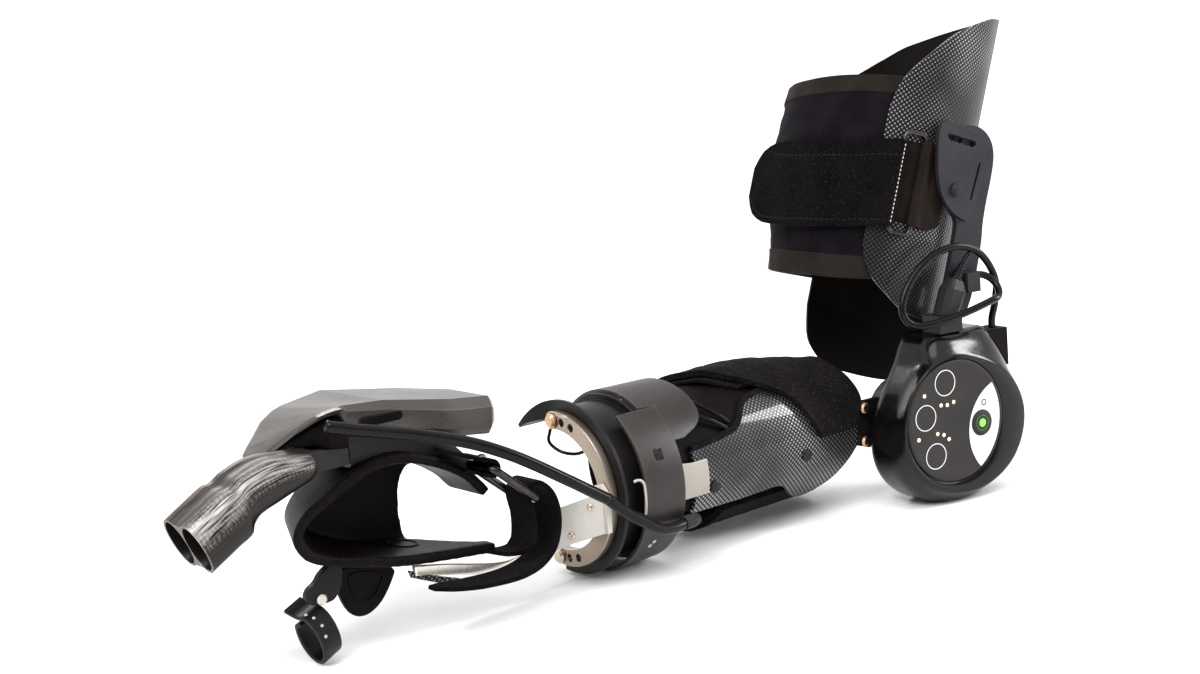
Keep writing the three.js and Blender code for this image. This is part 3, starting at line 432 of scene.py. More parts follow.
def noise_at(tree, coordinate, scale, detail=3.0):
    inputs = {"Vector": coordinate, "Scale": scale, "Detail": detail}
    return add(tree, "ShaderNodeTexNoise", inputs).outputs["Fac"]


def principled(tree):
    return next(n for n in tree.nodes if n.type == "BSDF_PRINCIPLED")


def start(name):
    """A new material, its tree and shader, and its object and UV coordinates."""
    material = bpy.data.materials.new(name)
    material.use_nodes = True
    tree = material.node_tree
    place = add(tree, "ShaderNodeTexCoord")
    return material, tree, principled(tree), place.outputs["Object"], place.outputs["UV"]


def axes_of(tree, coordinate):
    return add(tree, "ShaderNodeSeparateXYZ", {0: coordinate}).outputs


def bump(tree, height, strength, bump_mm):
    inputs = {"Height": height, "Strength": strength, "Distance": bump_mm * MM}
    return add(tree, "ShaderNodeBump", inputs).outputs["Normal"]


def edge_wear_and_highlight(tree, colour, wear_and_highlight_colour, amount):
    """Lighter colour where the surface turns over an edge: rubbed edges, and a painted highlight along them.
    """
    point = add(tree, "ShaderNodeNewGeometry").outputs["Pointiness"]
    return mix(tree, span(tree, point, 0.51, 0.6, 0, amount), colour, wear_and_highlight_colour)


def grain(name, colour, shade, rough, grain_mm, bump_mm, metallic=0.0, wear_and_highlight_colour=None, gloss=0.15):
    """General finish: two tones in soft patches, grain in the bump, roughness that varies."""
    material, tree, shader, place, _ = start(name)
    patches = noise_at(tree, place, 45, 4)
    fine = noise_at(tree, place, 1000 / grain_mm, 2)
    tone = mix(tree, span(tree, patches, 0.35, 0.65), colour, shade)
    # Lighter edges: rubbed edges together with a painted highlight
    if wear_and_highlight_colour:
        tone = edge_wear_and_highlight(tree, tone, wear_and_highlight_colour, 0.6)
    both = math_node(tree, "ADD", patches, fine)
    feed(tree, shader, {
        "Base Color": tone,
        "Roughness": span(tree, both, 0.7, 1.3, rough - 0.07, rough + 0.07),
        "Normal": bump(tree, fine, 0.5, bump_mm),
        "Metallic": metallic,
        "Specular IOR Level": gloss,
    })
    return material


CARBON_PITCH = 3.1


def woven(name, dark, light, cover, coat):
    """Carbon cloth under clear resin: metallic dots in staggered rows, at a real pitch, their colour dimmed
    in broad patches as painted reflection.
    """
    material, tree, shader, place, uv = start(name)
    axes = axes_of(tree, uv)
    turns = [math_node(tree, "MULTIPLY", axes[k], 2 * math.pi / CARBON_PITCH) for k in (0, 1)]
    cross = math_node(tree, "MULTIPLY", *[math_node(tree, "SINE", turn) for turn in turns])
    patches = noise_at(tree, place, 17, 2)
    dots = span(tree, cross, cover, 0.8)
    # The dots' colour is dimmed in broad patches: painted reflection
    dots_and_painted_reflection = math_node(tree, "MULTIPLY", dots, span(tree, patches, 0.38, 0.62, 0.18, 1.0))
    feed(tree, shader, {
        "Base Color": mix(tree, dots_and_painted_reflection, dark, light),
        "Metallic": math_node(tree, "MULTIPLY", dots, 0.85),
        "Roughness": span(tree, cross, -1, 1, 0.5, 0.42),
        "Normal": bump(tree, cross, 0.15, 0.05),
        "Coat Weight": coat,
        "Coat Roughness": 0.06,
        "Specular IOR Level": 0.15,
    })
    return material


# The painted highlight band on the finger tubes, in millimetres of girth and length: middle, offset, tooth
# pitch and depth
TWILL = {"middle": 42.5, "band": 13.0, "tooth": 2.3, "deep": 3.0, "ragged": 5.0}


def twill(name, dark, light, painted_highlight_colour):
    """Resin over coarse cloth: streaks along the tube, darker towards its undersides as painted shade, and a
    saw-edged pale band beside its middle as painted highlight.
    """
    material, tree, shader, _, uv = start(name)
    drawn = add(tree, "ShaderNodeMapping", {"Vector": uv, "Scale": (0.06, 1.0, 1)}).outputs[0]
    streak = noise_at(tree, drawn, 1.1, 3)
    axes = axes_of(tree, uv)
    near = math_node(tree, "SUBTRACT", TWILL["middle"], axes[1])
    off = math_node(tree, "ABSOLUTE", near)
    shift = math_node(tree, "MULTIPLY", noise_at(tree, uv, 0.35, 2), TWILL["ragged"])
    along = math_node(tree, "DIVIDE", math_node(tree, "ADD", axes[0], shift), TWILL["tooth"])
    tooth = math_node(tree, "MULTIPLY", math_node(tree, "FRACT", along), TWILL["deep"])
    painted_highlight_offset = math_node(tree, "SUBTRACT", math_node(tree, "SUBTRACT", near, tooth), TWILL["band"])
    # band: a saw-edged pale strip on the near tube's upper side, a painted highlight, also more metallic
    reach = span(tree, math_node(tree, "ABSOLUTE", painted_highlight_offset), 7.5, 2.0)
    band = math_node(tree, "MULTIPLY", reach, span(tree, streak, 0.38, 0.62))
    # Streaks, darker away from the top middle of the girth: painted shade
    streaks_and_painted_shade = math_node(tree, "MULTIPLY", span(tree, streak, 0.4, 0.66), span(tree, off, 27, 10, 0.05, 1.0))
    feed(tree, shader, {
        "Base Color": mix(tree, band, mix(tree, streaks_and_painted_shade, dark, light), painted_highlight_colour),
        "Roughness": span(tree, streak, 0.3, 0.7, 0.26, 0.42),
        "Metallic": span(tree, band, 0.0, 1.0, 0.05, 0.5),
        "Normal": bump(tree, streak, 0.5, 0.2),
        "Specular IOR Level": 0.25,
    })
    return material


STITCH_PITCH = 3.4


def cloth(name, colour, shade, pile_mm, bump_mm, sheen, rough=0.9, fleck=None, stitches=(), thread=None):
    """Knit or pile: fine fibre bump, sheen, flecks, and dashed stitch rows at set UV heights."""
    material, tree, shader, place, uv = start(name)
    fibre = noise_at(tree, place, 1000 / pile_mm, 4)
    patches = noise_at(tree, place, 60, 4)
    tone = mix(tree, span(tree, patches, 0.35, 0.7), colour, shade)
    if fleck:
        tone = mix(tree, span(tree, noise_at(tree, place, 750, 2), 0.56, 0.74), tone, fleck)
    height = math_node(tree, "ADD", fibre, math_node(tree, "MULTIPLY", patches, 1.5))
    if stitches:
        axes = axes_of(tree, uv)
        share = math_node(tree, "FRACT", math_node(tree, "DIVIDE", axes[0], STITCH_PITCH))
        dash = math_node(tree, "LESS_THAN", share, 0.62)
    for level in stitches:
        off = math_node(tree, "ABSOLUTE", math_node(tree, "SUBTRACT", axes[1], level))
        seam = math_node(tree, "MULTIPLY", span(tree, off, 0.55, 0.25), dash)
        tone = mix(tree, seam, tone, thread)
        groove = span(tree, off, 1.4, 0.2, 0.0, -1.2)
        height = math_node(tree, "ADD", height, math_node(tree, "ADD", groove, seam))
    feed(tree, shader, {
        "Base Color": tone,
        "Roughness": span(tree, fibre, 0.3, 0.7, rough - 0.1, rough),
        "Normal": bump(tree, height, 0.7, bump_mm),
        "Specular IOR Level": 0.04,
        "Sheen Weight": sheen,
        "Sheen Roughness": 0.35,
    })
    return material


DRAWN, TURNED = (400, 400, 40), (200, 200, 200)
PAINTED_EDGE_HIGHLIGHT = (0.95, 0.92, 0.88)


def brushed(name, colour, shade, rough, bright=PAINTED_EDGE_HIGHLIGHT, edge_highlight=0.4, metallic=1.0, along=DRAWN):
    """Satin metal with fine drawn lines, and a painted highlight in a pale colour along its edges."""
    material, tree, shader, place, _ = start(name)
    drawn = add(tree, "ShaderNodeMapping", {"Vector": place, "Scale": along})
    lines = noise_at(tree, drawn.outputs[0], 8, 4)
    patches = noise_at(tree, place, 35, 3)
    tone = mix(tree, span(tree, lines, 0.3, 0.7), colour, shade)
    both = math_node(tree, "ADD", lines, patches)
    # Pale colour along the edges: painted highlight
    feed(tree, shader, {
        "Base Color": edge_wear_and_highlight(tree, tone, bright, edge_highlight),
        "Roughness": span(tree, both, 0.7, 1.3, rough - 0.08, rough + 0.1),
        "Normal": bump(tree, lines, 0.25, 0.03),
        "Metallic": metallic,
    })
    return material


def glow(name, colour, strength):
    material = grain(name, colour, tuple(c * 0.7 for c in colour), 0.35, 0.5, 0.01)
    tree = material.node_tree
    feed(tree, principled(tree), {"Emission Color": (*colour, 1), "Emission Strength": strength})
    return material


PILE = ((0.0022, 0.0017, 0.0019), (0.0050, 0.0040, 0.0042), 0.9, 0.5, 0.015, 0.95, (0.013, 0.0112, 0.0115))
LOOK = {
    "carbon": woven("carbon_cloth", (0.003, 0.003, 0.0035), (0.33, 0.32, 0.33), 0.25, 0.15),
    "carbon_fine": woven("carbon_fine", (0.005, 0.005, 0.006), (0.44, 0.43, 0.44), 0.12, 0.3),
    "twill": twill("streaked_twill", (0.006, 0.005, 0.0046), (0.070, 0.054, 0.044), (0.36, 0.345, 0.33)),
    "neoprene": cloth("knit_neoprene", (0.0042, 0.0032, 0.0048), (0.0080, 0.0062, 0.0088), 0.7, 0.25, 0.02),
    "binding": cloth("rib_binding", (0.012, 0.0092, 0.008), (0.020, 0.0155, 0.0135), 0.9, 0.3, 0.02, 0.85),
    "pile": cloth("loop_pile", *PILE),
    "strap": cloth("strap_pile", *PILE, (4, 44), (0.014, 0.012, 0.012)),
    "suede": cloth(
        "suede_wrap", (0.0040, 0.0032, 0.0038), (0.0085, 0.0068, 0.0076), 0.8, 0.4, 0.02, 0.92,
        (0.022, 0.019, 0.0195),
    ),
    "tab": cloth("tab_webbing", (0.0075, 0.0050, 0.0042), (0.014, 0.0098, 0.0084), 0.6, 0.2, 0.01, 0.6),
    "thread": cloth("white_thread", (0.42, 0.40, 0.37), (0.55, 0.53, 0.50), 0.4, 0.05, 0.1),
    "foam": grain(
        "skin_foam", (0.0028, 0.0018, 0.0016), (0.0050, 0.0034, 0.0030), 0.6, 0.9, 0.06, gloss=0.06,
    ),
    "pad": grain("pad_foam", (0.0026, 0.0019, 0.0016), (0.0056, 0.0042, 0.0036), 0.45, 1.2, 0.08, gloss=0.05),
    "anodised": grain(
        "anodised_satin", (0.017, 0.016, 0.020), (0.024, 0.022, 0.027), 0.46, 0.3, 0.02,
        metallic=0.25, gloss=0.17,
    ),
    "gloss": grain(
        "gloss_black", (0.002, 0.0018, 0.0018), (0.004, 0.003, 0.003), 0.16, 2.5, 0.01, gloss=0.28,
    ),
    "plum": grain(
        "satin_plum", (0.0050, 0.0032, 0.0042), (0.0075, 0.0050, 0.0062), 0.6, 0.6, 0.03, gloss=0.05,
    ),
    "panel": grain("panel_film", (0.022, 0.020, 0.019), (0.028, 0.025, 0.024), 0.55, 0.35, 0.02),
    "cable": grain("cable_rubber", (0.0035, 0.003, 0.0032), (0.005, 0.0042, 0.0046), 0.22, 7, 0.004),
    "moulded": grain(
        "moulded_grey", (0.016, 0.013, 0.0118), (0.023, 0.019, 0.0175), 0.4, 0.7, 0.05,
        wear_and_highlight_colour=(0.10, 0.092, 0.085), gloss=0.3,
    ),
    "case": grain("case_grey", (0.027, 0.0205, 0.0166), (0.035, 0.0270, 0.0220), 0.32, 0.8, 0.04, gloss=0.48),
    "dark": grain(
        "dark_plastic", (0.004, 0.0034, 0.0034), (0.007, 0.0056, 0.0056), 0.4, 0.7, 0.04,
        wear_and_highlight_colour=(0.03, 0.027, 0.027), gloss=0.14,
    ),
    "wire": grain("dark_wire", (0.035, 0.031, 0.031), (0.075, 0.068, 0.068), 0.25, 1.0, 0.02, metallic=1.0),
    "rivet": grain(
        "dark_rivet", (0.05, 0.04, 0.038), (0.09, 0.07, 0.065), 0.3, 0.8, 0.02, 1.0, (0.3, 0.26, 0.24),
    ),
    "aluminium": brushed("champagne_aluminium", (0.24, 0.185, 0.135), (0.31, 0.25, 0.19), 0.36, edge_highlight=0.5),
    "nickel": brushed("satin_nickel", (0.31, 0.28, 0.245), (0.37, 0.34, 0.305), 0.45, metallic=0.5),
    "bright": brushed("bright_steel", (0.62, 0.57, 0.51), (0.74, 0.69, 0.63), 0.3, metallic=0.8),
    "copper": brushed(
        "screw_copper", (0.34, 0.19, 0.10), (0.48, 0.30, 0.18), 0.3, (0.62, 0.42, 0.27), 0.5, along=TURNED
    ),
    "steel": brushed(
        "bolt_steel", (0.42, 0.31, 0.23), (0.56, 0.44, 0.34), 0.25, (0.8, 0.7, 0.6), 0.5, along=TURNED
    ),
    "print": grain("white_print", (0.70, 0.69, 0.68), (0.78, 0.77, 0.76), 0.5, 0.4, 0.01),
    "led": glow("cream_led", (0.95, 0.88, 0.62), 0.2),
    "lit": glow("green_light", (0.22, 0.75, 0.10), 0.7),
}


def dress(obj, look, body=None, nodes=()):
    obj.data.materials.clear()
    obj.data.materials.append(LOOK[look])
    if body:
        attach(obj, body)
    if nodes:
        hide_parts(*nodes)
    return obj


def keep(node, look, edge=0.5, segments=2):
    """A CAD node that stays: a new material and softened edges."""
    obj = NODES[node]
    for slot in obj.material_slots:
        slot.material = LOOK[look]
    return soften(obj, edge, segments, 35)


# Cords
COIL_ROUTE = [
    (-53.5, 70, 50.1), (-53.5, 70.4, 56), (-53, 74.5, 67), (-51, 78, 81), (-41.4, 79, 96.7),
    (-31.7, 79, 103.6), (-18.5, 79, 106.3), (-1.8, 79, 103.4), (15.2, 79, 92.6), (24.4, 79.4, 79.6),
    (26.4, 80.4, 72.7), (24, 82, 66.5), (17.4, 84, 63), (2.9, 87, 63.6), (-17.3, 89.7, 67.3),
    (-36.4, 90.3, 71.7), (-41.35, 89.5, 72.7), (-45, 87.1, 75.4), (-46.3, 83.9, 79.2), (-45, 80.7, 83),
    (-41.35, 78.3, 85.7), (-36.4, 77.45, 86.7), (-35, 77.4, 86.7),
]
CABLE_REAR = [
    (206, 52, -20.7), (217, 53.7, -20.6), (226.5, 55, -18.5), (237, 56, -12.3), (251, 56, -2.8),
    (262.3, 56, 7.1),
]
CABLE_FRONT = [
    (262.3, 56, 7.1), (273, 55.3, 14), (285, 54, 22), (314.5, 48.5, 41), (336, 43.5, 51.8),
    (363, 38, 61.2), (394.5, 32, 69.8), (409, 29.2, 74),
]
# Piece, node, route, frame, radius, bodies, and the two points of the path either side of the joint it
# crosses
CORDS = [
    ("coil", "cable_coil", COIL_ROUTE, row, 2.25, ["upper_arm"], None),
    ("hand_cable_back", "hand_cable_rear", CABLE_REAR, uvw, 3.2, ["forearm", "wrist_ring"], (2, -1)),
    ("hand_cable_front", "hand_cable", CABLE_FRONT, uvw, 3.2, ["wrist_ring", "hand"], (0, -3)),
]


def lead(name, route, place, radius, spacing=1.5, sides=16):
    path = [place(*p) for p in spline(route, spacing)]
    return tube(name, path, radius * MM, sides), path


for name, node, route, place, radius, bodies, bend in CORDS:
    cord, path = lead(name, route, place, radius)
    dress(cord, "cable", None if bend else bodies[0], [node])
    if bend:
        tuple(path[bend[0]])
        tuple(path[bend[1]])
        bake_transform(cord)
    tuple(path[0])
    path_length(path)
    [tuple(p) for p in path]

# Upper-arm cuff. The tables of edges have rows of angle, lower level and upper level
CUFF_INNER = 58
PAD_WALL = 3.5
CUFF_SEAT = 61.9
SHELL_OUTER = 64.1
SHELL_WALL = 2.2
SHELL_EDGES = [
    (-50, 62, 259), (-27, 60, 253), (0, 62, 237), (15, 71, 220), (25, 79.5, 206), (30, 88, 195),
    (32.5, 97, 182),
]
LINER_EDGES = [
    (-163, 60, 214), (-160, 42, 220), (-155, 32, 225), (-145, 23, 234), (-130, 19.5, 246), (-100, 19.5, 258),
    (-70, 25, 261), (-45, 50, 256), (-20, 64, 248), (0, 66, 235), (17.5, 76, 214),
]
WRAP_EDGES = [(18.2, 79, 203), (50, 75, 199), (105, 75, 193), (212, 80, 190)]
STRAP_EDGES = [
    (23.3, 110, 164), (52, 104.5, 157.5), (108, 100, 153), (120, 102, 151), (128, 107, 146), (133, 118, 135),
]
FRONT_DIP = [(75, 13), (100, 8), (125, 3), (150, 0.7), (195, 3.2)]


def front_dip(phi, t):
    return read(FRONT_DIP, t) * step(phi, 40, 85) * (1 - step(phi, 135, 178))


def strap_radius(phi, t):
    on_wrap = CUFF_SEAT - front_dip(phi, t) / 2 + 6 * step(phi, 100, 133)
    return lerp(SHELL_OUTER + 0.4, on_wrap, step(phi, 33, 45))


def cuff_wall(name, edges, inner, outer, cols, rows):
    """Part of the cuff between its edges and two radii; a number for outer is a thickness."""

    def spot(a, b):
        phi = lerp(edges[0][0], edges[-1][0], a)
        return phi, lerp(read(edges, phi, 1), read(edges, phi, 2), b)

    def far(phi, t):
        return outer(phi, t) if callable(outer) else inner(phi, t) + outer

    def point(a, b, radius):
        phi, t = spot(a, b)
        return cuff(phi, radius(phi, t), t)

    def uv(a, b):
        phi, t = spot(a, b)
        return math.radians(phi) * CUFF_SEAT, t

    return wall(name, cols, rows, partial(point, radius=far), partial(point, radius=inner), uv)


shell = cuff_wall("shell_upper", SHELL_EDGES, lambda phi, t: CUFF_SEAT, SHELL_WALL, 72, 48)
dress(soften(shell, 0.8), "carbon", "upper_arm", ["upper_arm_shell"])
# A dark band over the shell's rear edge: painted shade of that edge
EDGE_SHADE_ROWS = [
    (phi, read(SHELL_EDGES, phi, 1) - 0.4, read(SHELL_EDGES, phi, 2) + 0.4) for phi in (-50.7, -49, -46.6)
]
edge_shade = cuff_wall("shell_edge_shade", EDGE_SHADE_ROWS, lambda phi, t: CUFF_SEAT - 0.2, 2.7, 6, 60)
dress(soften(edge_shade, 0.7), "dark", "upper_arm", ())


def liner_radius(phi, t):
    return CUFF_INNER + 0.35 * wobble(phi * 0.05, t * 0.03, 2.0)


liner = cuff_wall("liner_upper", LINER_EDGES, liner_radius, PAD_WALL, 110, 36)
dress(soften(liner, 1.4), "foam", "upper_arm", ["upper_arm_liner"])


def soft_wrap(phi, t):
    """Inner radius of the wrap, creased where nothing holds it."""
    smooth = lerp(CUFF_INNER, CUFF_SEAT, step(phi, 150, 178)) - front_dip(phi, t)
    free = step(phi, 36, 58) * (1 - step(phi, 140, 165))
    crease = 0.9 * wobble(phi * 0.035, t * 0.075, 5.0) + 0.5 * wobble(phi * 0.09, t * 0.15, 8.0)
    return smooth + free * crease


wrap = cuff_wall("wrap_upper", WRAP_EDGES, soft_wrap, PAD_WALL, 130, 50)
dress(soften(wrap, 1.2), "neoprene", "upper_arm", ["upper_arm_wrap"])


def binding_inner(phi, t):
    return soft_wrap(phi, t) - 0.7


def binding_outer(phi, t):
    return soft_wrap(phi, t) + PAD_WALL + lerp(0.25, 0.8, step(phi, 30, 38))


# Bindings: name, lower and upper limit from the wrap's edge, and that edge's column
for name, low, high, column in (("binding_low", -0.8, 13, 1), ("binding_high", -10, 0.8, 2)):
    levels = [(phi, read(WRAP_EDGES, phi, column)) for phi in np.linspace(20, 205, 33)]
    edges = [(phi, level + low, level + high) for phi, level in levels]
    band = cuff_wall(name, edges, binding_inner, binding_outer, 130, 8)
    dress(soften(band, 0.9), "binding", "upper_arm")


def cuff_mids(rows):
    """Rows of (phi, radius, thickness, low, high) as points of the arm's cross-section."""
    out = []
    for phi, radius, *rest in rows:
        turn = math.radians(phi)
        out.append((CUFF_CENTRE + radius * math.sin(turn), radius * math.cos(turn), *rest))
    return out


STRAP_FOLD = [
    (21.8, 64.5, 0.6, 112, 162), (20.5, 64.8, 0.7, 112, 162), (19.75, 65.5, 0.8, 112, 162),
    (19.6, 66.4, 0.9, 112, 162), (19.9, 67.6, 1.0, 111.5, 162.5), (20.9, 68.5, 1.2, 111, 163),
    (22.8, 68.9, 1.5, 110, 164), (26.5, 68.3, 2.1, 109.5, 163.3), (32, 67.2, 2.6, 108.3, 162.2),
    (38, 66.0, 2.8, 107.2, 161),
]
# The free tip: distance from where the strap leaves the wrap, and how far its edges draw in
STRAP_TIP = [(11, 0), (20, 0.3), (26.5, 1.2), (32, 3.2), (36.5, 6.5), (40, 11), (42.5, 17.5)]
STRAP_LEAVES = 74
STRAP_SAG = 0.0022
STRAP_DROOP = 0.06
strap_rows = list(STRAP_FOLD)
for phi in range(44, STRAP_LEAVES + 1, 6):
    low, high = read(STRAP_EDGES, phi, 1), read(STRAP_EDGES, phi, 2)
    strap_rows.append((phi, strap_radius(phi, (low + high) / 2) + 1.5, 2.6, low, high))
strap_mids = cuff_mids(strap_rows)
leave = np.array(strap_mids[-1][:2])
tangent = leave - np.array(strap_mids[-2][:2])
tangent /= np.linalg.norm(tangent)
low, high = strap_rows[-1][3:]
for run, inset in STRAP_TIP:
    sag = np.array((tangent[1], -tangent[0])) * -STRAP_SAG * run**2
    droop = run * STRAP_DROOP
    strap_mids.append((*(leave + tangent * run - sag), 2.4, low + inset - droop, high - inset - droop))
strap = ribbon("strap_upper", strap_mids, lean, 14)
dress(soften(strap, 0.7), "strap", "upper_arm", ["upper_arm_strap"])

TAB_ROWS = [
    (-12, 64.85, 1.2, 119, 164), (-8, 65.1, 1.8, 116, 165), (-4.5, 65.3, 2.0, 114, 166),
    (-1, 65.6, 2.4, 113, 166), (2, 65.7, 2.0, 113, 166), (4.5, 66.6, 2.2, 113, 166),
    (6.4, 67.9, 1.7, 113.5, 165.5), (8.2, 68.75, 1.4, 113.5, 165.5), (10, 68.4, 1.3, 113.5, 165.5),
    (11, 67.3, 1.2, 113.5, 165.5), (11.15, 66.3, 1.1, 113.5, 165.5), (10.6, 65.3, 0.9, 113.5, 165.5),
    (9, 64.65, 0.8, 113.5, 165.5),
]
TAB_BASE = [(phi, 64.3, 0.4, 114.5 + x, 164.5 - x) for phi, x in ((4, 0.5), (9, 0), (14, 0), (19.3, 0.5))]
dress(ribbon("tab_base", cuff_mids(TAB_BASE), lean, 10), "tab", "upper_arm")
STITCH = {"phi": 21.4, "radius": 69.3, "from": 113, "count": 19, "pitch": 2.6, "length": 1.5, "wire": 0.34}
dashes = []
for i in range(STITCH["count"]):
    level = STITCH["from"] + i * STITCH["pitch"]
    levels = [level + share * STITCH["length"] for share in (0, 0.5, 1)]
    ends = [cuff(STITCH["phi"], STITCH["radius"], t) for t in levels]
    dashes.append(tube(f"dash_{i}", ends, STITCH["wire"] * MM, 8))
dress(merge("strap_stitch", *dashes), "thread", "upper_arm")
tab = ribbon("tab_upper", cuff_mids(TAB_ROWS), lean, 12, 0.6)
dress(soften(tab, 0.5), "tab", "upper_arm", ["loop_tab"])


def wire_loop(name, width, height, corner, radius, place):
    outline = rounded(width, height, corner, 8)
    path = []
    for (x0, y0), (x1, y1) in zip(outline, outline[1:] + outline[:1]):
        count = max(int(math.hypot(x1 - x0, y1 - y0) / 1.5), 1)
        path += [place(lerp(x0, x1, k / count), lerp(y0, y1, k / count)) for k in range(count)]
    return tube(name, path, radius * MM, 14, True)


LOOP = {"phi": 15.25, "radius": 66, "width": 14.5, "height": 62, "corner": 3.5, "level": 138.5, "wire": 1.5}


def on_loop(x, y):
    turn = math.radians(LOOP["phi"])
    s = CUFF_CENTRE + LOOP["radius"] * math.sin(turn) + x * math.cos(turn)
    return lean(s, LOOP["radius"] * math.cos(turn) - x * math.sin(turn), LOOP["level"] + y)


loop = wire_loop("loop_upper", LOOP["width"], LOOP["height"], LOOP["corner"], LOOP["wire"], on_loop)
dress(loop, "wire", "upper_arm", ["strap_loop"])

# Side upright
BAR_OUTLINE = [
    (7.2, 120), (10, 126), (18, 130), (18, 181), (8, 184.7), (-2, 182), (-9, 175.5), (-12.6, 164), (-12, 130),
    (-15.6, 112),
]
PLATE_OUTLINE = [
    (-0.5, 124), (10.7, 125.5), (19, 129), (26, 134.5), (31.2, 142), (36.9, 159.5), (39, 175), (37, 180),
    (31, 182.2), (8.4, 180), (1, 177), (-2.6, 170),
]
BAR_FOOT = 55.4
BAR_DEPTH = 63.9
PLATE_DEPTH = 68.2


def bar_foot(s):
    return s, (BAR_FOOT - s * math.sin(LEAN)) / math.cos(LEAN)


bar_outline = round_corners([bar_foot(-15.6), bar_foot(7.2), *BAR_OUTLINE], 3)
bar = plate("upright_back", [bar_outline], 4, lambda s, t, c: lean(s, BAR_DEPTH + c, t), 0.5)
dress(bar, "anodised", "upper_arm", ["upright_bar"])


def toothed_slot(s, t, width, height, teeth):
    """A long hole with saw teeth along its lower edge."""
    half, deep = width / 2, height / 2
    lower = []
    for i in range(2 * teeth + 1):
        lower.append((lerp(-half + 1.5, half - 1.5, i / (2 * teeth)), -deep - (0.9 if i % 2 else 0)))
    right_end = [(half, -deep / 2), (half, deep / 2), (half - 1.2, deep)]
    left_end = [(-half + 1.2, deep), (-half, deep / 2), (-half, -deep / 2)]
    return [(s + x, t + y) for x, y in lower + right_end + left_end]


def long_groove(s, t, width, height, tilt):
    turn = math.radians(tilt)
    return [
        (s + x * math.cos(turn) - y * math.sin(turn), t + x * math.sin(turn) + y * math.cos(turn))
        for x, y in rounded(width, height, width / 2.02)
    ]


plate_holes = [toothed_slot(20, 172, 23, 3.4, 6), long_groove(3, 150, 1.5, 24, 4)]
plate_outlines = [round_corners(PLATE_OUTLINE), *plate_holes]
front_plate = plate("upright_front", plate_outlines, 3, lambda s, t, c: lean(s, PLATE_DEPTH + c, t), 0.3)
dress(front_plate, "anodised", "upper_arm", ["upright_plate"])
keep("plate_spacer", "dark", 0.4)
keep("plate_rivet", "dark", 0.3)

# Elbow housing
HOUSING = {"x": -4, "top": 55, "table": -50}
PANEL = {"x": -1, "z": 2.5, "face": 92.25}
# Rows of angle, outline at the arm side and outline at the rim
HOUSING_OUTLINE = [
    (0, 41, 43), (30, 38, 43.5), (60, 43, 43.5), (82, 58, 43), (100, 60, 43), (122, 64, 44), (150, 58, 49),
    (180, 60, 54), (210, 59, 53), (240, 54.5, 48), (270, 52, 44), (300, 50, 43), (330, 47, 43), (360, 41, 43),
]
# Sections from the arm side out: level, share of the rim's outline, growth
HOUSING_SECTIONS = [
    (56.4, 0, -3), (57.2, 0, -1.2), (59, 0, 0), (63, 0, 0), (68, 0, 0), (73, 0, 0), (77, 0, 0),
    (80.5, 0.14, 0.2), (84, 0.35, 0.2), (87, 0.62, 0.1), (89.5, 0.85, 0), (91, 0.95, -0.4), (91.8, 1, -1.0),
    (92, 1, -1.8),
]
# Rows of radius and level
PANEL_SEAT = [(38.6, 91.9), (38.0, 91.4), (37.9, 90.5)]
PANEL_PROFILE = [(37.4, 90.6), (37.4, 91.8), (37.1, 92.15), (36.4, 92.3), (34.5, 92.3), (34.2, 92.2)]
RING_STEPS = 144


def housing_ring(level, share, grow):
    ring = []
    for i in range(RING_STEPS):
        angle = 360 * i / RING_STEPS
        turn = math.radians(angle)
        radius = lerp(read(HOUSING_OUTLINE, angle, 1), read(HOUSING_OUTLINE, angle, 2), share) + grow
        z = min(max(radius * math.sin(turn), HOUSING["table"]), HOUSING["top"])
        ring.append(row(HOUSING["x"] + radius * math.cos(turn), level, z))
    return ring


def panel_ring(radius, level):
    return [row(x, level, z) for x, z in circle(radius, RING_STEPS, PANEL["x"], PANEL["z"])]


rings = [housing_ring(*section) for section in HOUSING_SECTIONS]
housing = stack("housing_elbow", rings + [panel_ring(*seat) for seat in PANEL_SEAT])
dress(soften(housing, 0.5, 2, 50), "gloss", "upper_arm", ["elbow_housing"])
panel = stack("panel_disc", [panel_ring(*section) for section in PANEL_PROFILE])
dress(panel, "panel", "upper_arm", ["control_panel"])
keep("housing_block", "plum", 1.6, 4)

RING_MARKS = [(6.5, 27.3), (22.8, 8.4), (16.3, -16.4)]
LEDS = [
    (23, 21.9), (29.1, -4), (10.5, 14.1), (5.6, 13.5), (0.5, 14.5), (14.3, -2.9), (9.5, -4.4), (5.6, -7.7),
]
LED_PROFILE = [(1.25, 0), (1.25, 0.4), (0.9, 0.85), (0.3, 1)]


def on_panel(x, z, c):
    return row(x, PANEL["face"] + c, z)


def hoop(name, spot, outer, inner, sides, thickness, place, bevel):
    outlines = [circle(radius, sides, *spot) for radius in (outer, inner)]
    return plate(name, outlines, thickness, place, bevel)


marks = [hoop(f"mark_{i}", spot, 8, 7.5, 64, 0.16, on_panel, 0.04) for i, spot in enumerate(RING_MARKS)]
dress(merge("panel_rings", *marks), "print", "upper_arm")
lamps = [[on_panel(*spot, c) for c in (-0.1, 0.5)] for spot in LEDS]
dress(turned("panel_leds", LED_PROFILE, lamps, 20), "led", "upper_arm")

LENS_TIPS = ((-30.6, 21.5), (-18.7, -29.2))
LENS_OUTER = (PANEL["x"] - 34.6, PANEL["z"] + 2)
LENS_INNER = (-11.5, -0.8)


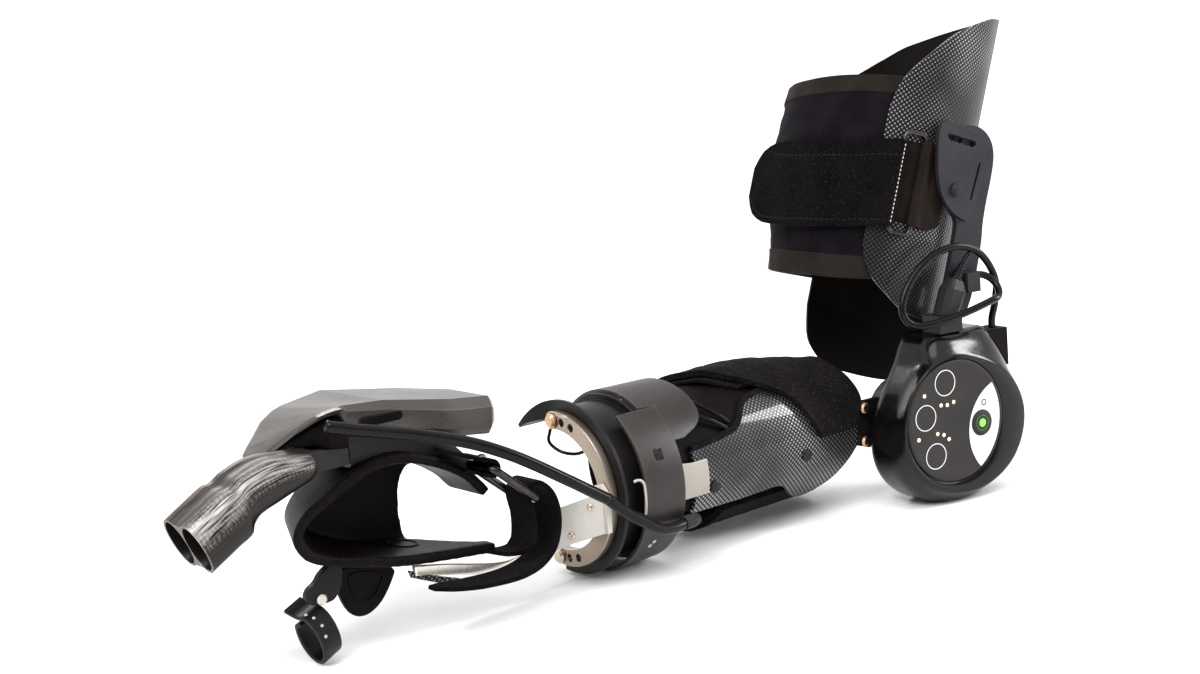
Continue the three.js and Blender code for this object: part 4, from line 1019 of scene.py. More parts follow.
def arc_through(a, b, c, steps):
    """Points on the circle through a, b and c, from a to c."""
    (ax, ay), (bx, by), (cx, cy) = a, b, c
    d = 2 * (ax * (by - cy) + bx * (cy - ay) + cx * (ay - by))
    sa, sb, sc = ax * ax + ay * ay, bx * bx + by * by, cx * cx + cy * cy
    x = (sa * (by - cy) + sb * (cy - ay) + sc * (ay - by)) / d
    y = (sa * (cx - bx) + sb * (ax - cx) + sc * (bx - ax)) / d
    radius = math.hypot(ax - x, ay - y)
    turns = [math.atan2(py - y, px - x) for px, py in (a, b, c)]
    for k in (1, 2):
        turns[k] += 2 * math.pi * round((turns[k - 1] - turns[k]) / (2 * math.pi))
    spots = [lerp(turns[0], turns[2], i / steps) for i in range(steps + 1)]
    return [(x + radius * math.cos(t), y + radius * math.sin(t)) for t in spots]


tip, other_tip = LENS_TIPS
crescent = arc_through(tip, LENS_OUTER, other_tip, 32) + arc_through(other_tip, LENS_INNER, tip, 32)[1:-1]
dress(plate("panel_lens", [crescent], 0.3, on_panel, 0.08), "print", "upper_arm")
small = hoop("lens_ring", (-23.3, 10.3), 2.0, 1.4, 32, 0.5, on_panel, 0.05)
dress(small, "tab", "upper_arm", ())

BUTTON = (-20.8, -2.1)
BUTTON_PROFILE = [(8.2, 0), (8.2, 0.35), (7.9, 0.42), (6.6, 0.42), (6.5, 0.9), (6.1, 1), (0.4, 1)]
BUTTON_CORE = [(2.7, 0), (2.7, 0.5), (2.0, 0.9), (0.4, 1)]
base = lathe("button_base", BUTTON_PROFILE, on_panel(*BUTTON, -0.1), on_panel(*BUTTON, 1.2), 48)
dress(base, "panel", "upper_arm", ["power_button"])
lamp = [
    hoop("button_ring", BUTTON, 4.9, 4.4, 48, 0.2, lambda x, z, c: on_panel(x, z, c + 1.0), 0.05),
    lathe("button_core", BUTTON_CORE, on_panel(*BUTTON, 0.8), on_panel(*BUTTON, 1.5), 32),
]
dress(merge("button_light", *lamp), "lit", "upper_arm")

# Plug and its lead
for node, edge in (("cable_connector", 1.2), ("plug_socket", 1.0), ("cable_plug", 0.8)):
    keep(node, "dark", edge, 3)
PLUG_NECK, PLUG_TIP = row(-18.6, 78, 86), row(-24.2, 79, 95.4)
PLUG_LEAD = [(-24, 79, 95), (-27.5, 79, 98.8), (-30, 79, 101.2)]
ribs = [(0.4, 0.0), (3.9, 0.02)]
for i in range(5):
    share, radius = 0.06 + i * 0.18, 3.9 - i * 0.36
    ribs += [(radius, share + 0.02), (radius, share + 0.09)]
    ribs += [(radius - 0.8, share + 0.11), (radius - 0.8, share + 0.17)]
ribs += [(2.0, 0.98), (0.4, 1.0)]
dress(lathe("relief", ribs, PLUG_NECK, PLUG_TIP, 28), "cable", "upper_arm", ["plug_relief"])
dress(lead("plug_tail", PLUG_LEAD, row, 1.5, 1.0)[0], "cable", "upper_arm", ["plug_lead"])

# Forearm trough: rows of u, lower and upper edge in degrees
TROUGH_EDGES = [
    (54, -13, 8), (62, -27, 26), (72, -42, 42), (88, -54, 50), (104, -44, 51), (116, -30, 51), (134, -29, 46),
    (148, -30, 29), (160, -30, 24.5), (188, -30, 20.5),
]
TROUGH_SPAN = (54, 188)
TROUGH_OUTER = (46, 44)
TROUGH_WALL = 2.2
LINER = {"span": (112, 198), "turn": (-30, 215), "inset": 2.6, "wall": 2.5}
LIP = {"span": (112, 187.5), "turn": (-1.5, 3.6), "proud": 0.5, "wall": 3.4}
# Wrap: rows of angle, outer radius, far edge and near edge; and its rise at the crown by u
WRAP_ROUND = [
    (3, 49.9, 89, 60), (20, 49.9, 96, 49.5), (40, 49.9, 106, 51), (60, 49.6, 125, 58), (90, 47, 147, 60),
    (120, 46.8, 156, 57), (180, 46.8, 160, 50), (230, 46.6, 162, 52), (270, 45, 162, 56),
    (298, 42.6, 160, 66), (318, 42.3, 158, 76),
]
WRAP_CROWN = [(45, -6), (61, -3.8), (79, -0.7), (113, 3.2), (147, 2.2)]


def trough_outer(u):
    return lerp(*TROUGH_OUTER, min(max((u - 60) / 128, 0), 1))


def trough_spot(a, b):
    u = lerp(*TROUGH_SPAN, a)
    return u, lerp(read(TROUGH_EDGES, u, 1), read(TROUGH_EDGES, u, 2), b)


def trough_point(a, b, depth):
    u, psi = trough_spot(a, b)
    return arm(psi, trough_outer(u) - depth, u)


def trough_uv(a, b):
    u, psi = trough_spot(a, b)
    return u, math.radians(psi) * 45


def liner_point(a, b, depth):
    u, psi = lerp(*LINER["span"], a), lerp(*LINER["turn"], b)
    uneven = 0.15 * wobble(u * 0.05, psi * 0.03, 4.0)
    return arm(psi, trough_outer(u) - LINER["inset"] - depth + uneven, u)


def lip_point(a, b, depth):
    """Padded lip along the trough's upper edge."""
    u = lerp(*LIP["span"], a)
    psi = read(TROUGH_EDGES, u, 2) + lerp(*LIP["turn"], b)
    return arm(psi, trough_outer(u) + LIP["proud"] - depth, u)


def wrap_outer(psi, u):
    crown = step(psi, 62, 85) * (1 - step(psi, 100, 150))
    free = step(psi, 58, 75) * (1 - step(psi, 225, 260))
    crease = 0.9 * wobble(u * 0.07, psi * 0.03, 11.0) + 0.4 * wobble(u * 0.16, psi * 0.08, 13.0)
    return read(WRAP_ROUND, psi, 1) + crown * read(WRAP_CROWN, u) + free * crease


def layers(point, *depths):
    """The faces of a wall, from a point function of two shares and a depth inward."""
    return [partial(point, depth=depth) for depth in depths]


def forearm_wrap(name, top, thickness, rows, band=None, turn=(WRAP_ROUND[0][0], WRAP_ROUND[-1][0])):
    """The wrap, or a band of it between two distances in from its far edge."""

    def spot(a, b):
        psi = lerp(*turn, a)
        begin, end = read(WRAP_ROUND, psi, 3), read(WRAP_ROUND, psi, 2)
        return psi, end - lerp(*band, b) if band else lerp(begin, end, b)

    def point(a, b, depth):
        psi, u = spot(a, b)
        return arm(psi, wrap_outer(psi, u) + top - depth, u)

    def uv(a, b):
        psi, u = spot(a, b)
        return math.radians(psi) * 47, u

    return wall(name, 150, rows, *layers(point, 0, thickness), uv)


trough = wall("shell_forearm", 96, 44, *layers(trough_point, 0, TROUGH_WALL), trough_uv)
dress(soften(trough, 0.8), "carbon_fine", "forearm", ["forearm_shell"])
dress(soften(wall("shell_lip", 70, 6, *layers(lip_point, 0, LIP["wall"])), 0.9), "suede", "forearm")
inner = wall("liner_forearm", 36, 96, *layers(liner_point, 0, LINER["wall"]), lambda a, b: (a * 86, b * 180))
dress(soften(inner, 0.9), "foam", "forearm", ["forearm_liner"])
fore_wrap = forearm_wrap("wrap_forearm", 0, PAD_WALL, 44)
dress(soften(fore_wrap, 1.2), "suede", "forearm", ["forearm_wrap"])
dress(soften(forearm_wrap("wrap_hem", 0.5, 0.9, 8, (6.5, -0.2)), 0.4), "suede", "forearm")
dress(soften(forearm_wrap("wrap_lining", -4.3, 2.2, 10, (14, -5.5), (60, 150)), 0.8), "suede", "forearm")
keep("forearm_bracket", "dark", 0.6)
for node in ("bracket_bolt_1", "bracket_bolt_2"):
    keep(node, "copper", 0.3)
for node in ("forearm_rivet_1", "forearm_rivet_2"):
    keep(node, "dark", 0.3)
# Each wire's two ends as u and angle
SENSOR_WIRES = [((186, 78), (153, 33)), ((186, 55), (156, 29))]
for i, ((u0, psi0), (u1, psi1)) in enumerate(SENSOR_WIRES, 1):
    route = []
    for share in (k / 8 for k in range(9)):
        u = lerp(u0, u1, share)
        rise = 2 * math.sin(share * math.pi) - 0.6
        route.append((lerp(psi0, psi1, share), trough_outer(u) + rise, u))
    wire, _ = lead(f"wire_sensor_{i}", route, arm, 1.35, 2.0, 12)
    dress(wire, "cable", "forearm", [f"sensor_wire_{i}"])

# Rotator
RISE = 1.5
COVER = {"from": 203, "to": 231.5, "inner": 49.2, "outer": 51.5, "turn": (-102, 54)}
HOOD_BACK = [(28, 194), (34, 182), (42, 176), (55.5, 174), (56.5, 174), (140, 176)]
RING_PROFILE = [
    (214, 40), (246, 40), (246, 50.2), (243.5, 50.2), (243.5, 44.5), (216.5, 44.5), (216.5, 48.2),
    (214, 48.2),
]


def ring_band(name, turn, cols, rows, outer, inner, along):
    """A band round the wrist; outer and inner give its radii, along its place on the arm."""

    def point(a, b, radius):
        psi = lerp(*turn, a)
        return arm(psi, radius(b), along(psi, b), RISE)

    def uv(a, b):
        psi = lerp(*turn, a)
        return math.radians(psi) * 50, along(psi, b)

    return wall(name, cols, rows, partial(point, radius=outer), partial(point, radius=inner), uv)


cover = ring_band(
    "cover_band", COVER["turn"], 96, 6, lambda b: COVER["outer"] + 0.4 * math.sin(math.pi * b),
    lambda b: COVER["inner"], lambda psi, b: lerp(COVER["from"], COVER["to"], b),
)
dress(soften(cover, 0.5), "moulded", "forearm", ["rotator_cover"])
hood = ring_band(
    "hood_band", (28, 140), 90, 10, lambda b: 50 - 0.6 * (1 - b), lambda b: 47.4 - 0.6 * (1 - b),
    lambda psi, b: lerp(read(HOOD_BACK, psi), 202.6 if psi < 56 else 213.2, b),
)
dress(soften(hood, 0.8), "moulded", "forearm", ["rotator_hood"])

LINK = {"span": (180, 212), "turn": (-13, 12), "climb": (189, 204), "wall": 2}


def link_point(a, b, depth):
    """The link plate climbs from the trough to the cover's inner side."""
    u = lerp(*LINK["span"], b)
    climb = step(u, *LINK["climb"])
    radius = lerp(trough_outer(176) + 0.3, COVER["inner"] - 2.3, climb) + LINK["wall"]
    return arm(lerp(*LINK["turn"], a), radius - depth, u, RISE * climb)


def on_window(a, b, c):
    return arm(22 + math.degrees(b / COVER["outer"]), COVER["outer"] + 0.05 + c, 218 + a, RISE)


CLIP_RADIUS = 51


def on_clip(u, w, radius):
    return arm(math.degrees(w / CLIP_RADIUS), radius, u, RISE)


link = wall("link_plate", 14, 30, *layers(link_point, 0, LINK["wall"]))
dress(soften(link, 0.5), "nickel", "forearm", ["link_bar"])
window = plate("cover_window", [rounded(6, 7, 1.2)], 0.5, on_window, 0.15)
dress(window, "gloss", "forearm", ())
CLIP_ROUTE = [
    (232.3, -11, 51.2), (232.3, 3, 51.2), (232.6, 6.5, 51.2), (233.8, 8.3, 51), (236, 9, 50.5),
    (238, 8.6, 49.6),
]
clip, _ = lead("clip_wire", CLIP_ROUTE, on_clip, 0.8, 0.8, 12)
dress(clip, "nickel", "forearm", ["cover_clip"])
PIN_PROFILE = [(1.3, 0), (1.3, 0.6), (0.7, 1), (0.2, 1)]
COVER_PINS = [(221, -36.5), (223, -39.5)]
pins = [[arm(psi, radius, u, RISE) for radius in (51.4, 52.5)] for u, psi in COVER_PINS]
dress(turned("cover_pins", PIN_PROFILE, pins, 20), "nickel", "forearm", ())
keep("cable_gland", "dark", 0.5)

# The ring's visor: how far it runs forward and draws in, and between which angles and places along the arm
VISOR = {
    "ahead": 7.5, "rise": (92, 132), "along": (230, 243), "inward": 0.8, "draw": (104, 136), "radius": 45.6,
}


def ring_place(psi):
    """The ring's section; its front lip runs forward into a visor at the upper end."""
    ahead = VISOR["ahead"] * step(psi, *VISOR["rise"])
    inward = VISOR["inward"] * step(psi, *VISOR["draw"])

    def at(u, radius):
        return arm(psi, lerp(radius, VISOR["radius"], inward), u + ahead * step(u, *VISOR["along"]), RISE)

    return at


places = [ring_place(lerp(-100, 133, i / 110)) for i in range(111)]
dress(soften(sweep("ring_body", RING_PROFILE, places), 0.4, 2), "dark", "wrist_ring", ["rotator_ring"])

ARC = {
    "low": -99, "high": 94, "middle": 39.5, "half": 5, "hole": 2.3, "holes": (81, 69, -86, -74), "u": 246.4,
}


def on_arc(psi, radius):
    turn = math.radians(psi)
    return radius * math.cos(turn), RISE + radius * math.sin(turn)


def arc_side(first, last, radius):
    return [on_arc(lerp(first, last, i / 90), radius) for i in range(91)]


def arc_end(psi, sign):
    """The round end of the arc at one angle; the sign tells which way it faces."""
    turn = math.radians(psi)
    points = []
    for k in range(1, 16):
        lift = math.radians(lerp(90, -90, k / 16)) * sign
        v, w = on_arc(psi, ARC["middle"] + ARC["half"] * math.sin(lift))
        reach = ARC["half"] * math.cos(lift) * sign
        points.append((v - reach * math.sin(turn), w + reach * math.cos(turn)))
    return points


arc_outline = arc_side(ARC["low"], ARC["high"], ARC["middle"] + ARC["half"]) + arc_end(ARC["high"], 1)
arc_outline += arc_side(ARC["high"], ARC["low"], ARC["middle"] - ARC["half"]) + arc_end(ARC["low"], -1)
arc_holes = [circle(ARC["hole"], 24, *on_arc(psi, ARC["middle"])) for psi in ARC["holes"]]
arc = plate("arc_plate", [arc_outline, *arc_holes], 5, lambda v, w, c: uvw(ARC["u"] + c, v, w), 0.5)
dress(arc, "aluminium", "wrist_ring", ["ring_arc"])
keep("arc_bolt_top", "copper", 0.3)
keep("arc_bolt_bottom", "steel", 0.3)
RING_WIRE = [(249, -7, 35), (250, -8, 28), (247, -3, 22.5), (243, 6, 21), (240, 16, 25), (238, 24.7, 31.9)]
dress(lead("wire_ring", RING_WIRE, uvw, 1.0, 1.0, 12)[0], "cable", "wrist_ring", ["ring_wire"])
keep("wrist_bracket", "nickel", 0.5)
BRACKET_FACE = ((255.6, 42), (273.2, 17))
BRACKET_OUT = (0.817, 0.576)
BRACKET_SCREWS = [(0.22, -1), (0.62, -17), (0.88, -7)]
SCREW_PROFILE = [(1.9, 0), (1.9, 0.7), (1.4, 1), (0.9, 1), (0.8, 0.6), (0.2, 0.6)]
screws = []
for share, w in BRACKET_SCREWS:
    u, v = (lerp(a, b, share) for a, b in zip(*BRACKET_FACE))
    screws.append([uvw(u + BRACKET_OUT[0] * h, v + BRACKET_OUT[1] * h, w) for h in (-0.4, 1.0)])
dress(turned("bracket_screws", SCREW_PROFILE, screws, 24), "steel", "wrist_ring")

# Hand


def side_on(u, w, v):
    return uvw(u, v, w)


def at_v(level):
    """Places a plate that faces across the hand, with its near face's depth from level on."""
    return lambda u, w, c: uvw(u, level + c, w)


# Rows of u, v and w
HAND_BAR = [
    (262, 11.8, -15), (272, 11.8, -19), (282, 12, -23.5), (294, 13.6, -26.3), (306, 15.5, -26),
    (322, 16.3, -22.6), (340, 16.7, -17.9), (362, 17, -12.9),
]
BAR_NECK = [(264, -20), (279, -22.5), (279, -17.5), (266, -11)]


def bar_place(u):
    v, w = read(HAND_BAR, u, 1), read(HAND_BAR, u, 2)
    return lambda a, b: uvw(u, v + a, w + b)


bar_parts = [
    sweep("bar_rod", rounded(3, 6, 1, 4), [bar_place(lerp(270, 362, i / 60)) for i in range(61)]),
    plate("bar_eye", [circle(9, 64, 264, -15)], 3, at_v(10.7), 0.4),
    plate("bar_neck", [BAR_NECK], 2.6, at_v(10.9), 0.3),
]
dress(merge("bar_hand", *bar_parts), "bright", "hand", ["hand_bar"])

PAD = {"wall": 5.6, "near": 22, "far": -24, "web": 4.5, "skew": 20, "voxel": 0.0011}
PAD_PATH = [
    (311, 19), (322, 31), (341, 42.5), (363, 50), (384, 49.5), (398, 44), (412, 37.5), (424, 31), (430, 21),
    (425, 10), (412, 3), (392, -2.5), (372, -7.5), (342, -12), (312, -16),
]
WEB_EDGE = [(342.8, -6), (344, 0.5), (344.4, 8), (344, 14), (342.8, 23), (340.5, 28), (337, 31.5), (331, 35)]
pad_line = spline(PAD_PATH, 1.2)
pad_ahead = np.gradient(pad_line, axis=0)
pad_ahead /= np.linalg.norm(pad_ahead, axis=1)[:, None]


def pad_point(share, depth, v):
    i = int(round(share * (len(pad_line) - 1)))
    u, w = pad_line[i]
    skew = PAD["skew"] * step(u, 365, 430) * (PAD["near"] - v) / (PAD["near"] - PAD["far"])
    return u - skew + pad_ahead[i][1] * depth, v, w - pad_ahead[i][0] * depth


def band_point(a, b, depth):
    """The band: narrow at its upper start, drawn to a tip at its lower end."""
    begin, tip = 1 - step(a, 0, 0.2), step(a, 0.84, 1)
    near = PAD["near"] - 3 * begin - 2 * tip
    far = PAD["far"] + 9 * begin + 34 * tip
    return uvw(*pad_point(a, depth, lerp(near, far, b)))


band = wall("pad_band", len(pad_line) - 1, 24, *layers(band_point, 0, PAD["wall"]))
web_spots = [pad_point(lerp(0.1, 0.885, k / 59), PAD["wall"] / 2, PAD["far"]) for k in range(60)]
web_outline = [(u, w) for u, _, w in web_spots] + WEB_EDGE
pad = merge("pad_palm", band, plate("pad_web", [web_outline], PAD["web"], at_v(PAD["far"]), 0.3))
remesh = pad.modifiers.new("skin", "REMESH")
remesh.mode = "VOXEL"
remesh.voxel_size = PAD["voxel"]
relax = pad.modifiers.new("relax", "SMOOTH")
relax.factor = 0.5
relax.iterations = 14
dress(baked(pad), "pad", "hand", ["palm_pad"])
OVAL = {"u": 353, "v": -6, "half_u": 8, "half_v": 8.5, "wire": 0.8}
PAD_FLOOR = [(342, -12), (372, -7.5)]
oval = []
for x, y in circle(1, 48):
    u = OVAL["u"] + OVAL["half_u"] * x
    oval.append(uvw(u, OVAL["v"] + OVAL["half_v"] * y, read(PAD_FLOOR, u) + PAD["wall"] - 0.2))
dress(tube("pad_oval", oval, OVAL["wire"] * MM, 10, True), "pad", "hand")
STRIP = [(366, -11.4), (364.6, -15.6), (349, -22.6), (334, -27), (335, -24), (349, -18.8)]
dress(plate("bar_strip", [STRIP], 1.2, at_v(17.2), 0.2), "carbon_fine", "hand")

# Rows of u, far and near, lower level at far and near, upper level at far and near
MOTOR_SECTIONS = [
    (295.6, -10, 4, 52, 52, 58.6, 58.6), (297.6, -17, 10, 48.6, 48.6, 63, 63),
    (303, -25, 16, 46, 46, 67, 67), (330, -36, 23, 47.5, 51, 72, 71), (372, -45, 25, 52, 62.5, 78, 79),
    (394, -48, 25, 51, 69.5, 73.5, 81), (397, -48.5, 25, 68.4, 77, 72.2, 80.9),
    (404, -50, 25, 63, 76.8, 67, 80.5), (409, -50, 23, 57, 75.2, 60.5, 79),
    (412, -49.5, 3, 54, 66.2, 57.5, 70), (415, -48, -18, 51.6, 55.2, 55, 58.8),
    (418, -46, -23, 49.6, 51, 52.5, 54.5),
]
# A dark block under the case's lid, filling its open front: painted shade of that cavity
CAVITY_SHADE_SECTIONS = [
    (393, -44, 21, 52, 58.5, 67, 75.8), (403, -46, 20.5, 50.5, 60, 62.2, 75.6),
    (406.6, -46, 14, 50.5, 62.5, 56, 72), (409.2, -46, -6, 50, 58, 53.2, 64),
    (412, -44, -22, 49, 51.4, 50.8, 53.6),
]
FRAME_SECTIONS = [
    (317, -6, 12, 25.4, 25.4, 31, 36), (328, -11, 14, 34.6, 34.6, 41, 46.5),
    (342, -16, 15, 42.4, 42.4, 49, 52.5), (363, -20, 17, 49.6, 49.6, 53.6, 58.4),
    (372, -20, 17, 50.4, 50.4, 55, 60.4), (391, -20, 17, 47.6, 47.6, 56, 65.6),
]
CASE_OUTLINE = [
    (0.88, 1), (-0.88, 1), (-1, 0.45), (-0.92, -0.6), (-0.75, -1), (0.75, -1), (0.92, -0.6), (1, 0.45),
]
MOTOR_SLOT = {"u": 375, "w": 70, "v": 23.8, "lean": 0.32, "width": 24, "height": 4.4, "corner": 2.1}


def block(name, sections, outline):
    """A body through sections of four corners; the outline fills a square from -1 to 1."""

    def place(u, far, near, low_far, low_near, high_far, high_near):
        def at(a, b):
            side, level = (a + 1) / 2, (b + 1) / 2
            low, high = lerp(low_far, low_near, side), lerp(high_far, high_near, side)
            return uvw(u, lerp(far, near, side), lerp(low, high, level))

        return at

    return sweep(name, outline, [place(*section) for section in sections])


def on_slot(a, b, c):
    rise = MOTOR_SLOT["lean"] * b
    return uvw(MOTOR_SLOT["u"] + a, MOTOR_SLOT["v"] + rise + c, MOTOR_SLOT["w"] + b)


dress(soften(block("case_motor", MOTOR_SECTIONS, CASE_OUTLINE), 1.5, 3, 20), "case", "hand", ["hand_motor"])
# Painted shade: the dark block in the case's open front
core = block("case_cavity_shade", CAVITY_SHADE_SECTIONS, rounded(2, 2, 0.2, 4))
dress(soften(core, 0.6, 2, 25), "foam", "hand", ())
# The slot in the case's near side, a dark plate on its face: painted shade of the slot's depth
slot_outline = rounded(MOTOR_SLOT["width"], MOTOR_SLOT["height"], MOTOR_SLOT["corner"])
dress(plate("case_slot_shade", [slot_outline], 0.7, on_slot, 0.2), "foam", "hand", ())
hand_frame = block("frame_hand", FRAME_SECTIONS, rounded(2, 2, 0.2, 5))
dress(soften(hand_frame, 0.8, 3, 25), "dark", "hand", ["hand_frame"])

# The strap: sewn to the pad's lower tip, up through the loop, back down outside, and a free tail.
# Rows of u, w, thickness, and its two edges across the hand
HAND_STRAP = [
    (322, -12.2, 2.0, 6, 17), (316, -14.2, 2.2, 9, 22), (309, -15.8, 2.6, 14, 30),
    (304.2, -14, 2.8, 19, 37), (302, -9, 2.8, 21.5, 41), (301.2, -2, 2.8, 22, 42), (301.2, 5, 2.8, 22, 42),
    (302.3, 10.5, 2.8, 22, 42), (303, 14.5, 2.6, 22, 42), (302.3, 18.5, 2.6, 22, 42),
    (299.8, 21.4, 2.6, 22, 42), (296, 21.9, 2.7, 22, 42), (291.2, 18.8, 2.8, 19, 42),
    (287, 13.2, 2.8, 17.5, 42), (284.7, 5, 2.8, 17.5, 42), (285.2, -5, 2.8, 19.5, 42),
    (289.2, -15, 2.8, 22, 42), (298, -21.8, 2.8, 22, 42), (311, -24.8, 2.8, 22, 42),
    (336, -23.8, 2.6, 22.5, 41), (352, -21.3, 2.4, 24, 39), (362, -19.2, 2.2, 29, 35),
]
dress(soften(ribbon("strap_hand", HAND_STRAP, side_on, 10), 0.8), "pile", "hand", ["hand_strap"])


HAND_LOOP_AT = (312, 32, 25)
HAND_LOOP_DOWN = (0.763, 0.647)


def on_hand_loop(x, y):
    u, v, w = HAND_LOOP_AT
    return uvw(u - HAND_LOOP_DOWN[0] * y, v + x, w - HAND_LOOP_DOWN[1] * y)


dress(wire_loop("loop_hand", 24, 34, 4, 2.2, on_hand_loop), "wire", "hand", ["hand_strap_loop"])
LOOP_TAB = [
    (340, 46, 2, 8, 19), (334.5, 43.6, 2, 13, 28), (329.8, 41.6, 2, 19, 42), (325.4, 40.6, 2, 21, 43),
    (321.6, 38.6, 2, 21, 43), (320.6, 35.2, 2, 21, 43), (323, 32, 2, 21, 43), (328, 33, 2, 21, 42),
]
dress(soften(ribbon("tab_hand", LOOP_TAB, side_on, 8, 0.8), 0.6), "pile", "hand")
TAB_STUD = [(2.6, 0), (2.6, 0.4), (1.8, 0.9), (0.3, 1)]
dress(lathe("tab_stud", TAB_STUD, uvw(326.5, 36, 41.2), uvw(327, 36, 43), 24), "rivet", "hand")

# Thumb
THUMB_PAD = [
    (401, -1.4), (364, -10.4), (369, -20), (376, -28.5), (384, -32.6), (391, -32), (396, -27), (400, -16),
]
THUMB_ARM = [
    (405.5, 1.5), (398.5, 0), (399.5, -8), (401.5, -13.5), (405, -17.4), (409, -18), (415, -18), (419.4, -16),
    (421.3, -12.4), (419, -8.2), (414.5, -6.2), (412, -2.5),
]
tongue_outline = round_corners(THUMB_PAD, 3)
dress(plate("tongue_thumb", [tongue_outline], 4.5, at_v(1.5), 1.2), "pad", "hand", ["thumb_pad"])
tongue_oval = [
    [(384 + (u - 384) * share, -15 + (w + 15) * share) for u, w in tongue_outline] for share in (0.62, 0.53)
]
dress(plate("tongue_oval", tongue_oval, 1.0, at_v(5.6), 0.25), "pad", "hand")
thumb_arm = plate("arm_thumb", [round_corners(THUMB_ARM, 2)], 4.6, at_v(6.4), 0.8)
dress(thumb_arm, "dark", "hand", ["thumb_arm"])
# The ring's centre and its axis, which runs forward along the thumb; then its half sizes across and up
THUMB_RING = {
    "centre": (413.9, 5.6, -33.7), "across": 9.2, "upward": 14.5, "width": 12, "wall": 2.4, "table": -49.8,
}
THUMB_AHEAD = Vector((0.9, 0.2, -0.3)).normalized()
THUMB_SIDE = Vector((THUMB_AHEAD.y, -THUMB_AHEAD.x, 0)).normalized()
THUMB_UP = THUMB_SIDE.cross(THUMB_AHEAD)
THUMB_FLARE = [(54, 9), (66, 3.4), (80, 0.3), (92, 0)]
STUD_PROFILE = [(0.9, 0), (0.9, 0.5), (0.3, 1)]
RING_STUDS = [(96, 3.4), (112, 2.2), (136, 1.4), (168, 2.6)]


def on_thumb(a, b, along):
    u, v, w = Vector(THUMB_RING["centre"]) + THUMB_SIDE * a + THUMB_UP * b + THUMB_AHEAD * along
    return uvw(u, v, max(w, THUMB_RING["table"]))


def thumb_spot(alpha, lift):
    """A point in the ring's plane, by its angle and its distance out from the oval."""
    turn = math.radians(alpha)
    oval = 1 / math.hypot(math.cos(turn) / THUMB_RING["across"], math.sin(turn) / THUMB_RING["upward"])
    return (oval + lift) * math.cos(turn), (oval + lift) * math.sin(turn)


thumb_mids = []
for alpha in range(54, 437, 6):
    lift = read(THUMB_FLARE, alpha) - THUMB_RING["wall"] / 2 - 2.6 * step(alpha, 405, 430)
    half = THUMB_RING["width"] / 2
    thumb_mids.append((*thumb_spot(alpha, lift), THUMB_RING["wall"], -half, half))
dress(soften(ribbon("ring_thumb", thumb_mids, on_thumb, 8), 0.6), "dark", "hand", ["thumb_ring"])
studs = [[on_thumb(*thumb_spot(alpha, lift), along) for lift in (-0.3, 0.6)] for alpha, along in RING_STUDS]
dress(turned("ring_studs", STUD_PROFILE, studs, 16), "nickel", "hand", ())
keep("thumb_rivet", "nickel", 0.3)
keep("finger_fork", "dark", 0.6)
keep("finger_link", "dark", 0.5)

# Finger tubes
TUBE = {
    "outer": 9.8, "pitch": 17, "middle": 7, "wall_across": 1.8, "wall_up": 1.5, "from": 410.5, "to": 476,
    "fall": 0.577,
}
# Rows of u, level, slope, size across and size up
TUBE_PATH = [
    (410.5, 53.6, 0, 0.5, 0.36), (411.6, 53.6, 0, 0.72, 0.52), (414, 53.4, 0, 0.88, 0.66),
    (420, 52.8, -4, 0.96, 0.8), (434, 51, -12, 1, 1.08), (447, 46.6, -22, 1, 1.12),
    (452, 42.6, -26, 1.02, 1.17), (454.5, 40.4, -27, 1.08, 1.37), (462, 36.2, -27, 1.08, 1.38),
    (476, 28, -22, 1.08, 1.38),
]
TUBE_STEPS = 66
BORE_STEPS = 40


def tube_place(u, side=0):
    """Places the unit section of the tube pair, or of one side's bore, also a little past the end."""
    level, slope, across, upward = (read(TUBE_PATH, u, k) for k in (1, 2, 3, 4))
    level -= max(u - TUBE["to"], 0) * TUBE["fall"]
    slope = math.radians(slope)
    across, upward, middle = across * TUBE["outer"], upward * TUBE["outer"], TUBE["middle"]
    if side:
        middle += side * TUBE["pitch"] / 2 * across / TUBE["outer"]
        across, upward = across - TUBE["wall_across"], upward - TUBE["wall_up"]

    def at(a, b):
        rise = b * upward
        return uvw(u - rise * math.sin(slope), middle + a * across, level + rise * math.cos(slope))

    return at


tube_outline = []
half_pitch = TUBE["pitch"] / 2 / TUBE["outer"]
for side in (0, 1):
    for i in range(33):
        turn = math.radians(lerp(-118, 118, i / 32) + side * 180)
        tube_outline.append(((-half_pitch if side else half_pitch) + math.cos(turn), math.sin(turn)))
girth = [0]
for (x0, y0), (x1, y1) in zip(tube_outline, tube_outline[1:]):
    girth.append(girth[-1] + math.hypot(x1 - x0, y1 - y0) * TUBE["outer"])
shares = [i / TUBE_STEPS for i in range(TUBE_STEPS + 1)]
tube_uv = [(lerp(0, 72, share), g) for share in shares for g in girth]
tube_rows = [tube_place(lerp(TUBE["from"], TUBE["to"], share)) for share in shares]
tubes = sweep("tubes_finger", tube_outline, tube_rows, False, tube_uv)
for side in (-1, 1):
    rows = [tube_place(lerp(430, 481, i / BORE_STEPS), side) for i in range(BORE_STEPS + 1)]
    bore = sweep("bore", circle(1, 40), rows)
    hole = tubes.modifiers.new("bore", "BOOLEAN")
    hole.operation = "DIFFERENCE"
    hole.solver = "EXACT"
    hole.object = bore
    baked(tubes)
    bpy.data.objects.remove(bore)
dress(soften(tubes, 0.4, 2), "twill", "fingers", ["finger_tubes"])

# Floor and light: a wide dish, so that the floor runs up behind the part with no line
DISH = [
    (0.05, 0), (1.5, 0), (2.6, 0), (3.0, 0.05), (3.35, 0.2), (3.6, 0.45), (3.75, 0.8), (3.8, 1.2),
    (3.8, 2.2),
]
DISH_SIDES = 96


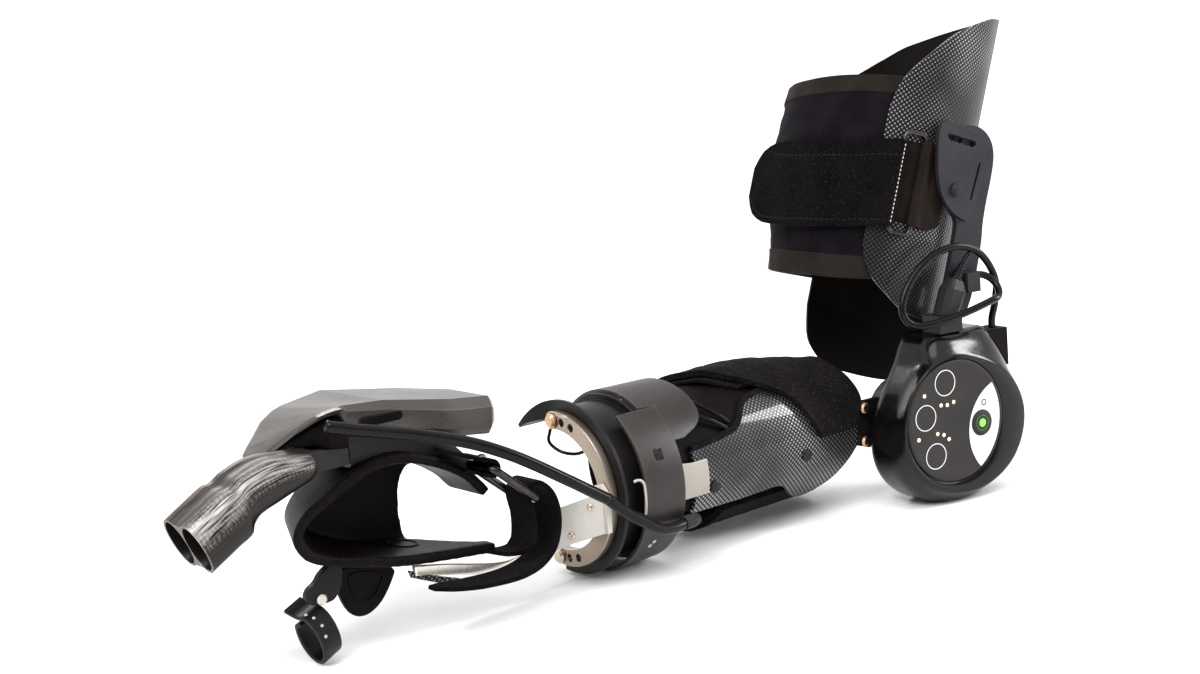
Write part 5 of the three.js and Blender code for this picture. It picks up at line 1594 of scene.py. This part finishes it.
def dish_point(r, z, k):
    """The dish stands high behind the part and low on the camera's side."""
    turn = 2 * math.pi * k / DISH_SIDES
    toward = math.cos(turn) * back.x + math.sin(turn) * back.y
    return r * math.cos(turn), r * math.sin(turn), z * lerp(1, 0.14, step(toward, -0.2, 0.4))


dish_points = [dish_point(r, z, k) for r, z in DISH for k in range(DISH_SIDES)]
dish_faces = [tuple(range(DISH_SIDES))]
for i in range(len(DISH) - 1):
    here, there = i * DISH_SIDES, (i + 1) * DISH_SIDES
    for k in range(DISH_SIDES):
        n = (k + 1) % DISH_SIDES
        dish_faces.append((here + k, here + n, there + n, there + k))
floor = mesh_object("floor", dish_points, dish_faces)
pale = grain("pale_floor", (0.86, 0.86, 0.86), (0.84, 0.84, 0.84), 0.9, 3, 0.01, gloss=0.1)
floor.data.materials.append(pale)

world = bpy.data.worlds.new("studio")
world.use_nodes = True
# The light comes from overhead and fades towards the horizon
sky_tree = world.node_tree
sky = next(n for n in sky_tree.nodes if n.type == "BACKGROUND")
height = axes_of(sky_tree, add(sky_tree, "ShaderNodeTexCoord").outputs["Generated"])[2]
feed(sky_tree, sky, {"Color": (1, 1, 1, 1), "Strength": span(sky_tree, height, 0.1, 0.65, 0.06, 1.4)})
bpy.context.scene.world = world
bpy.context.scene.view_settings.view_transform = "Standard"

# Lights: name, place, aim, size across and up, watts
LIGHTS = [
    ("key", (0.9, 0.5, 1.2), (0.0, 0.0, 0.1), 0.35, 0.35, 10),
    ("side", (-0.95, 0.5, 0.5), (-0.15, 0.05, 0.05), 0.15, 0.5, 6),
    ("rim", (0.1, -1.3, 1.0), (0.0, 0.0, 0.1), 0.9, 0.15, 9),
]
SUN = {"energy": 1.4, "angle": 40, "heading": (-0.35, -0.45, -0.8)}


def shine(light, heading):
    light.rotation_euler = Vector(heading).to_track_quat("-Z", "Y").to_euler()
    bpy.context.collection.objects.link(light)


for name, place, aim, width, height, watts in LIGHTS:
    data = bpy.data.lights.new(name, "AREA")
    data.shape = "RECTANGLE"
    data.size, data.size_y = width, height
    data.energy = watts
    light = bpy.data.objects.new(name, data)
    light.location = place
    shine(light, Vector(aim) - Vector(place))
sun = bpy.data.objects.new("sun", bpy.data.lights.new("sun", "SUN"))
sun.data.energy = SUN["energy"]
sun.data.angle = math.radians(SUN["angle"])
shine(sun, SUN["heading"])
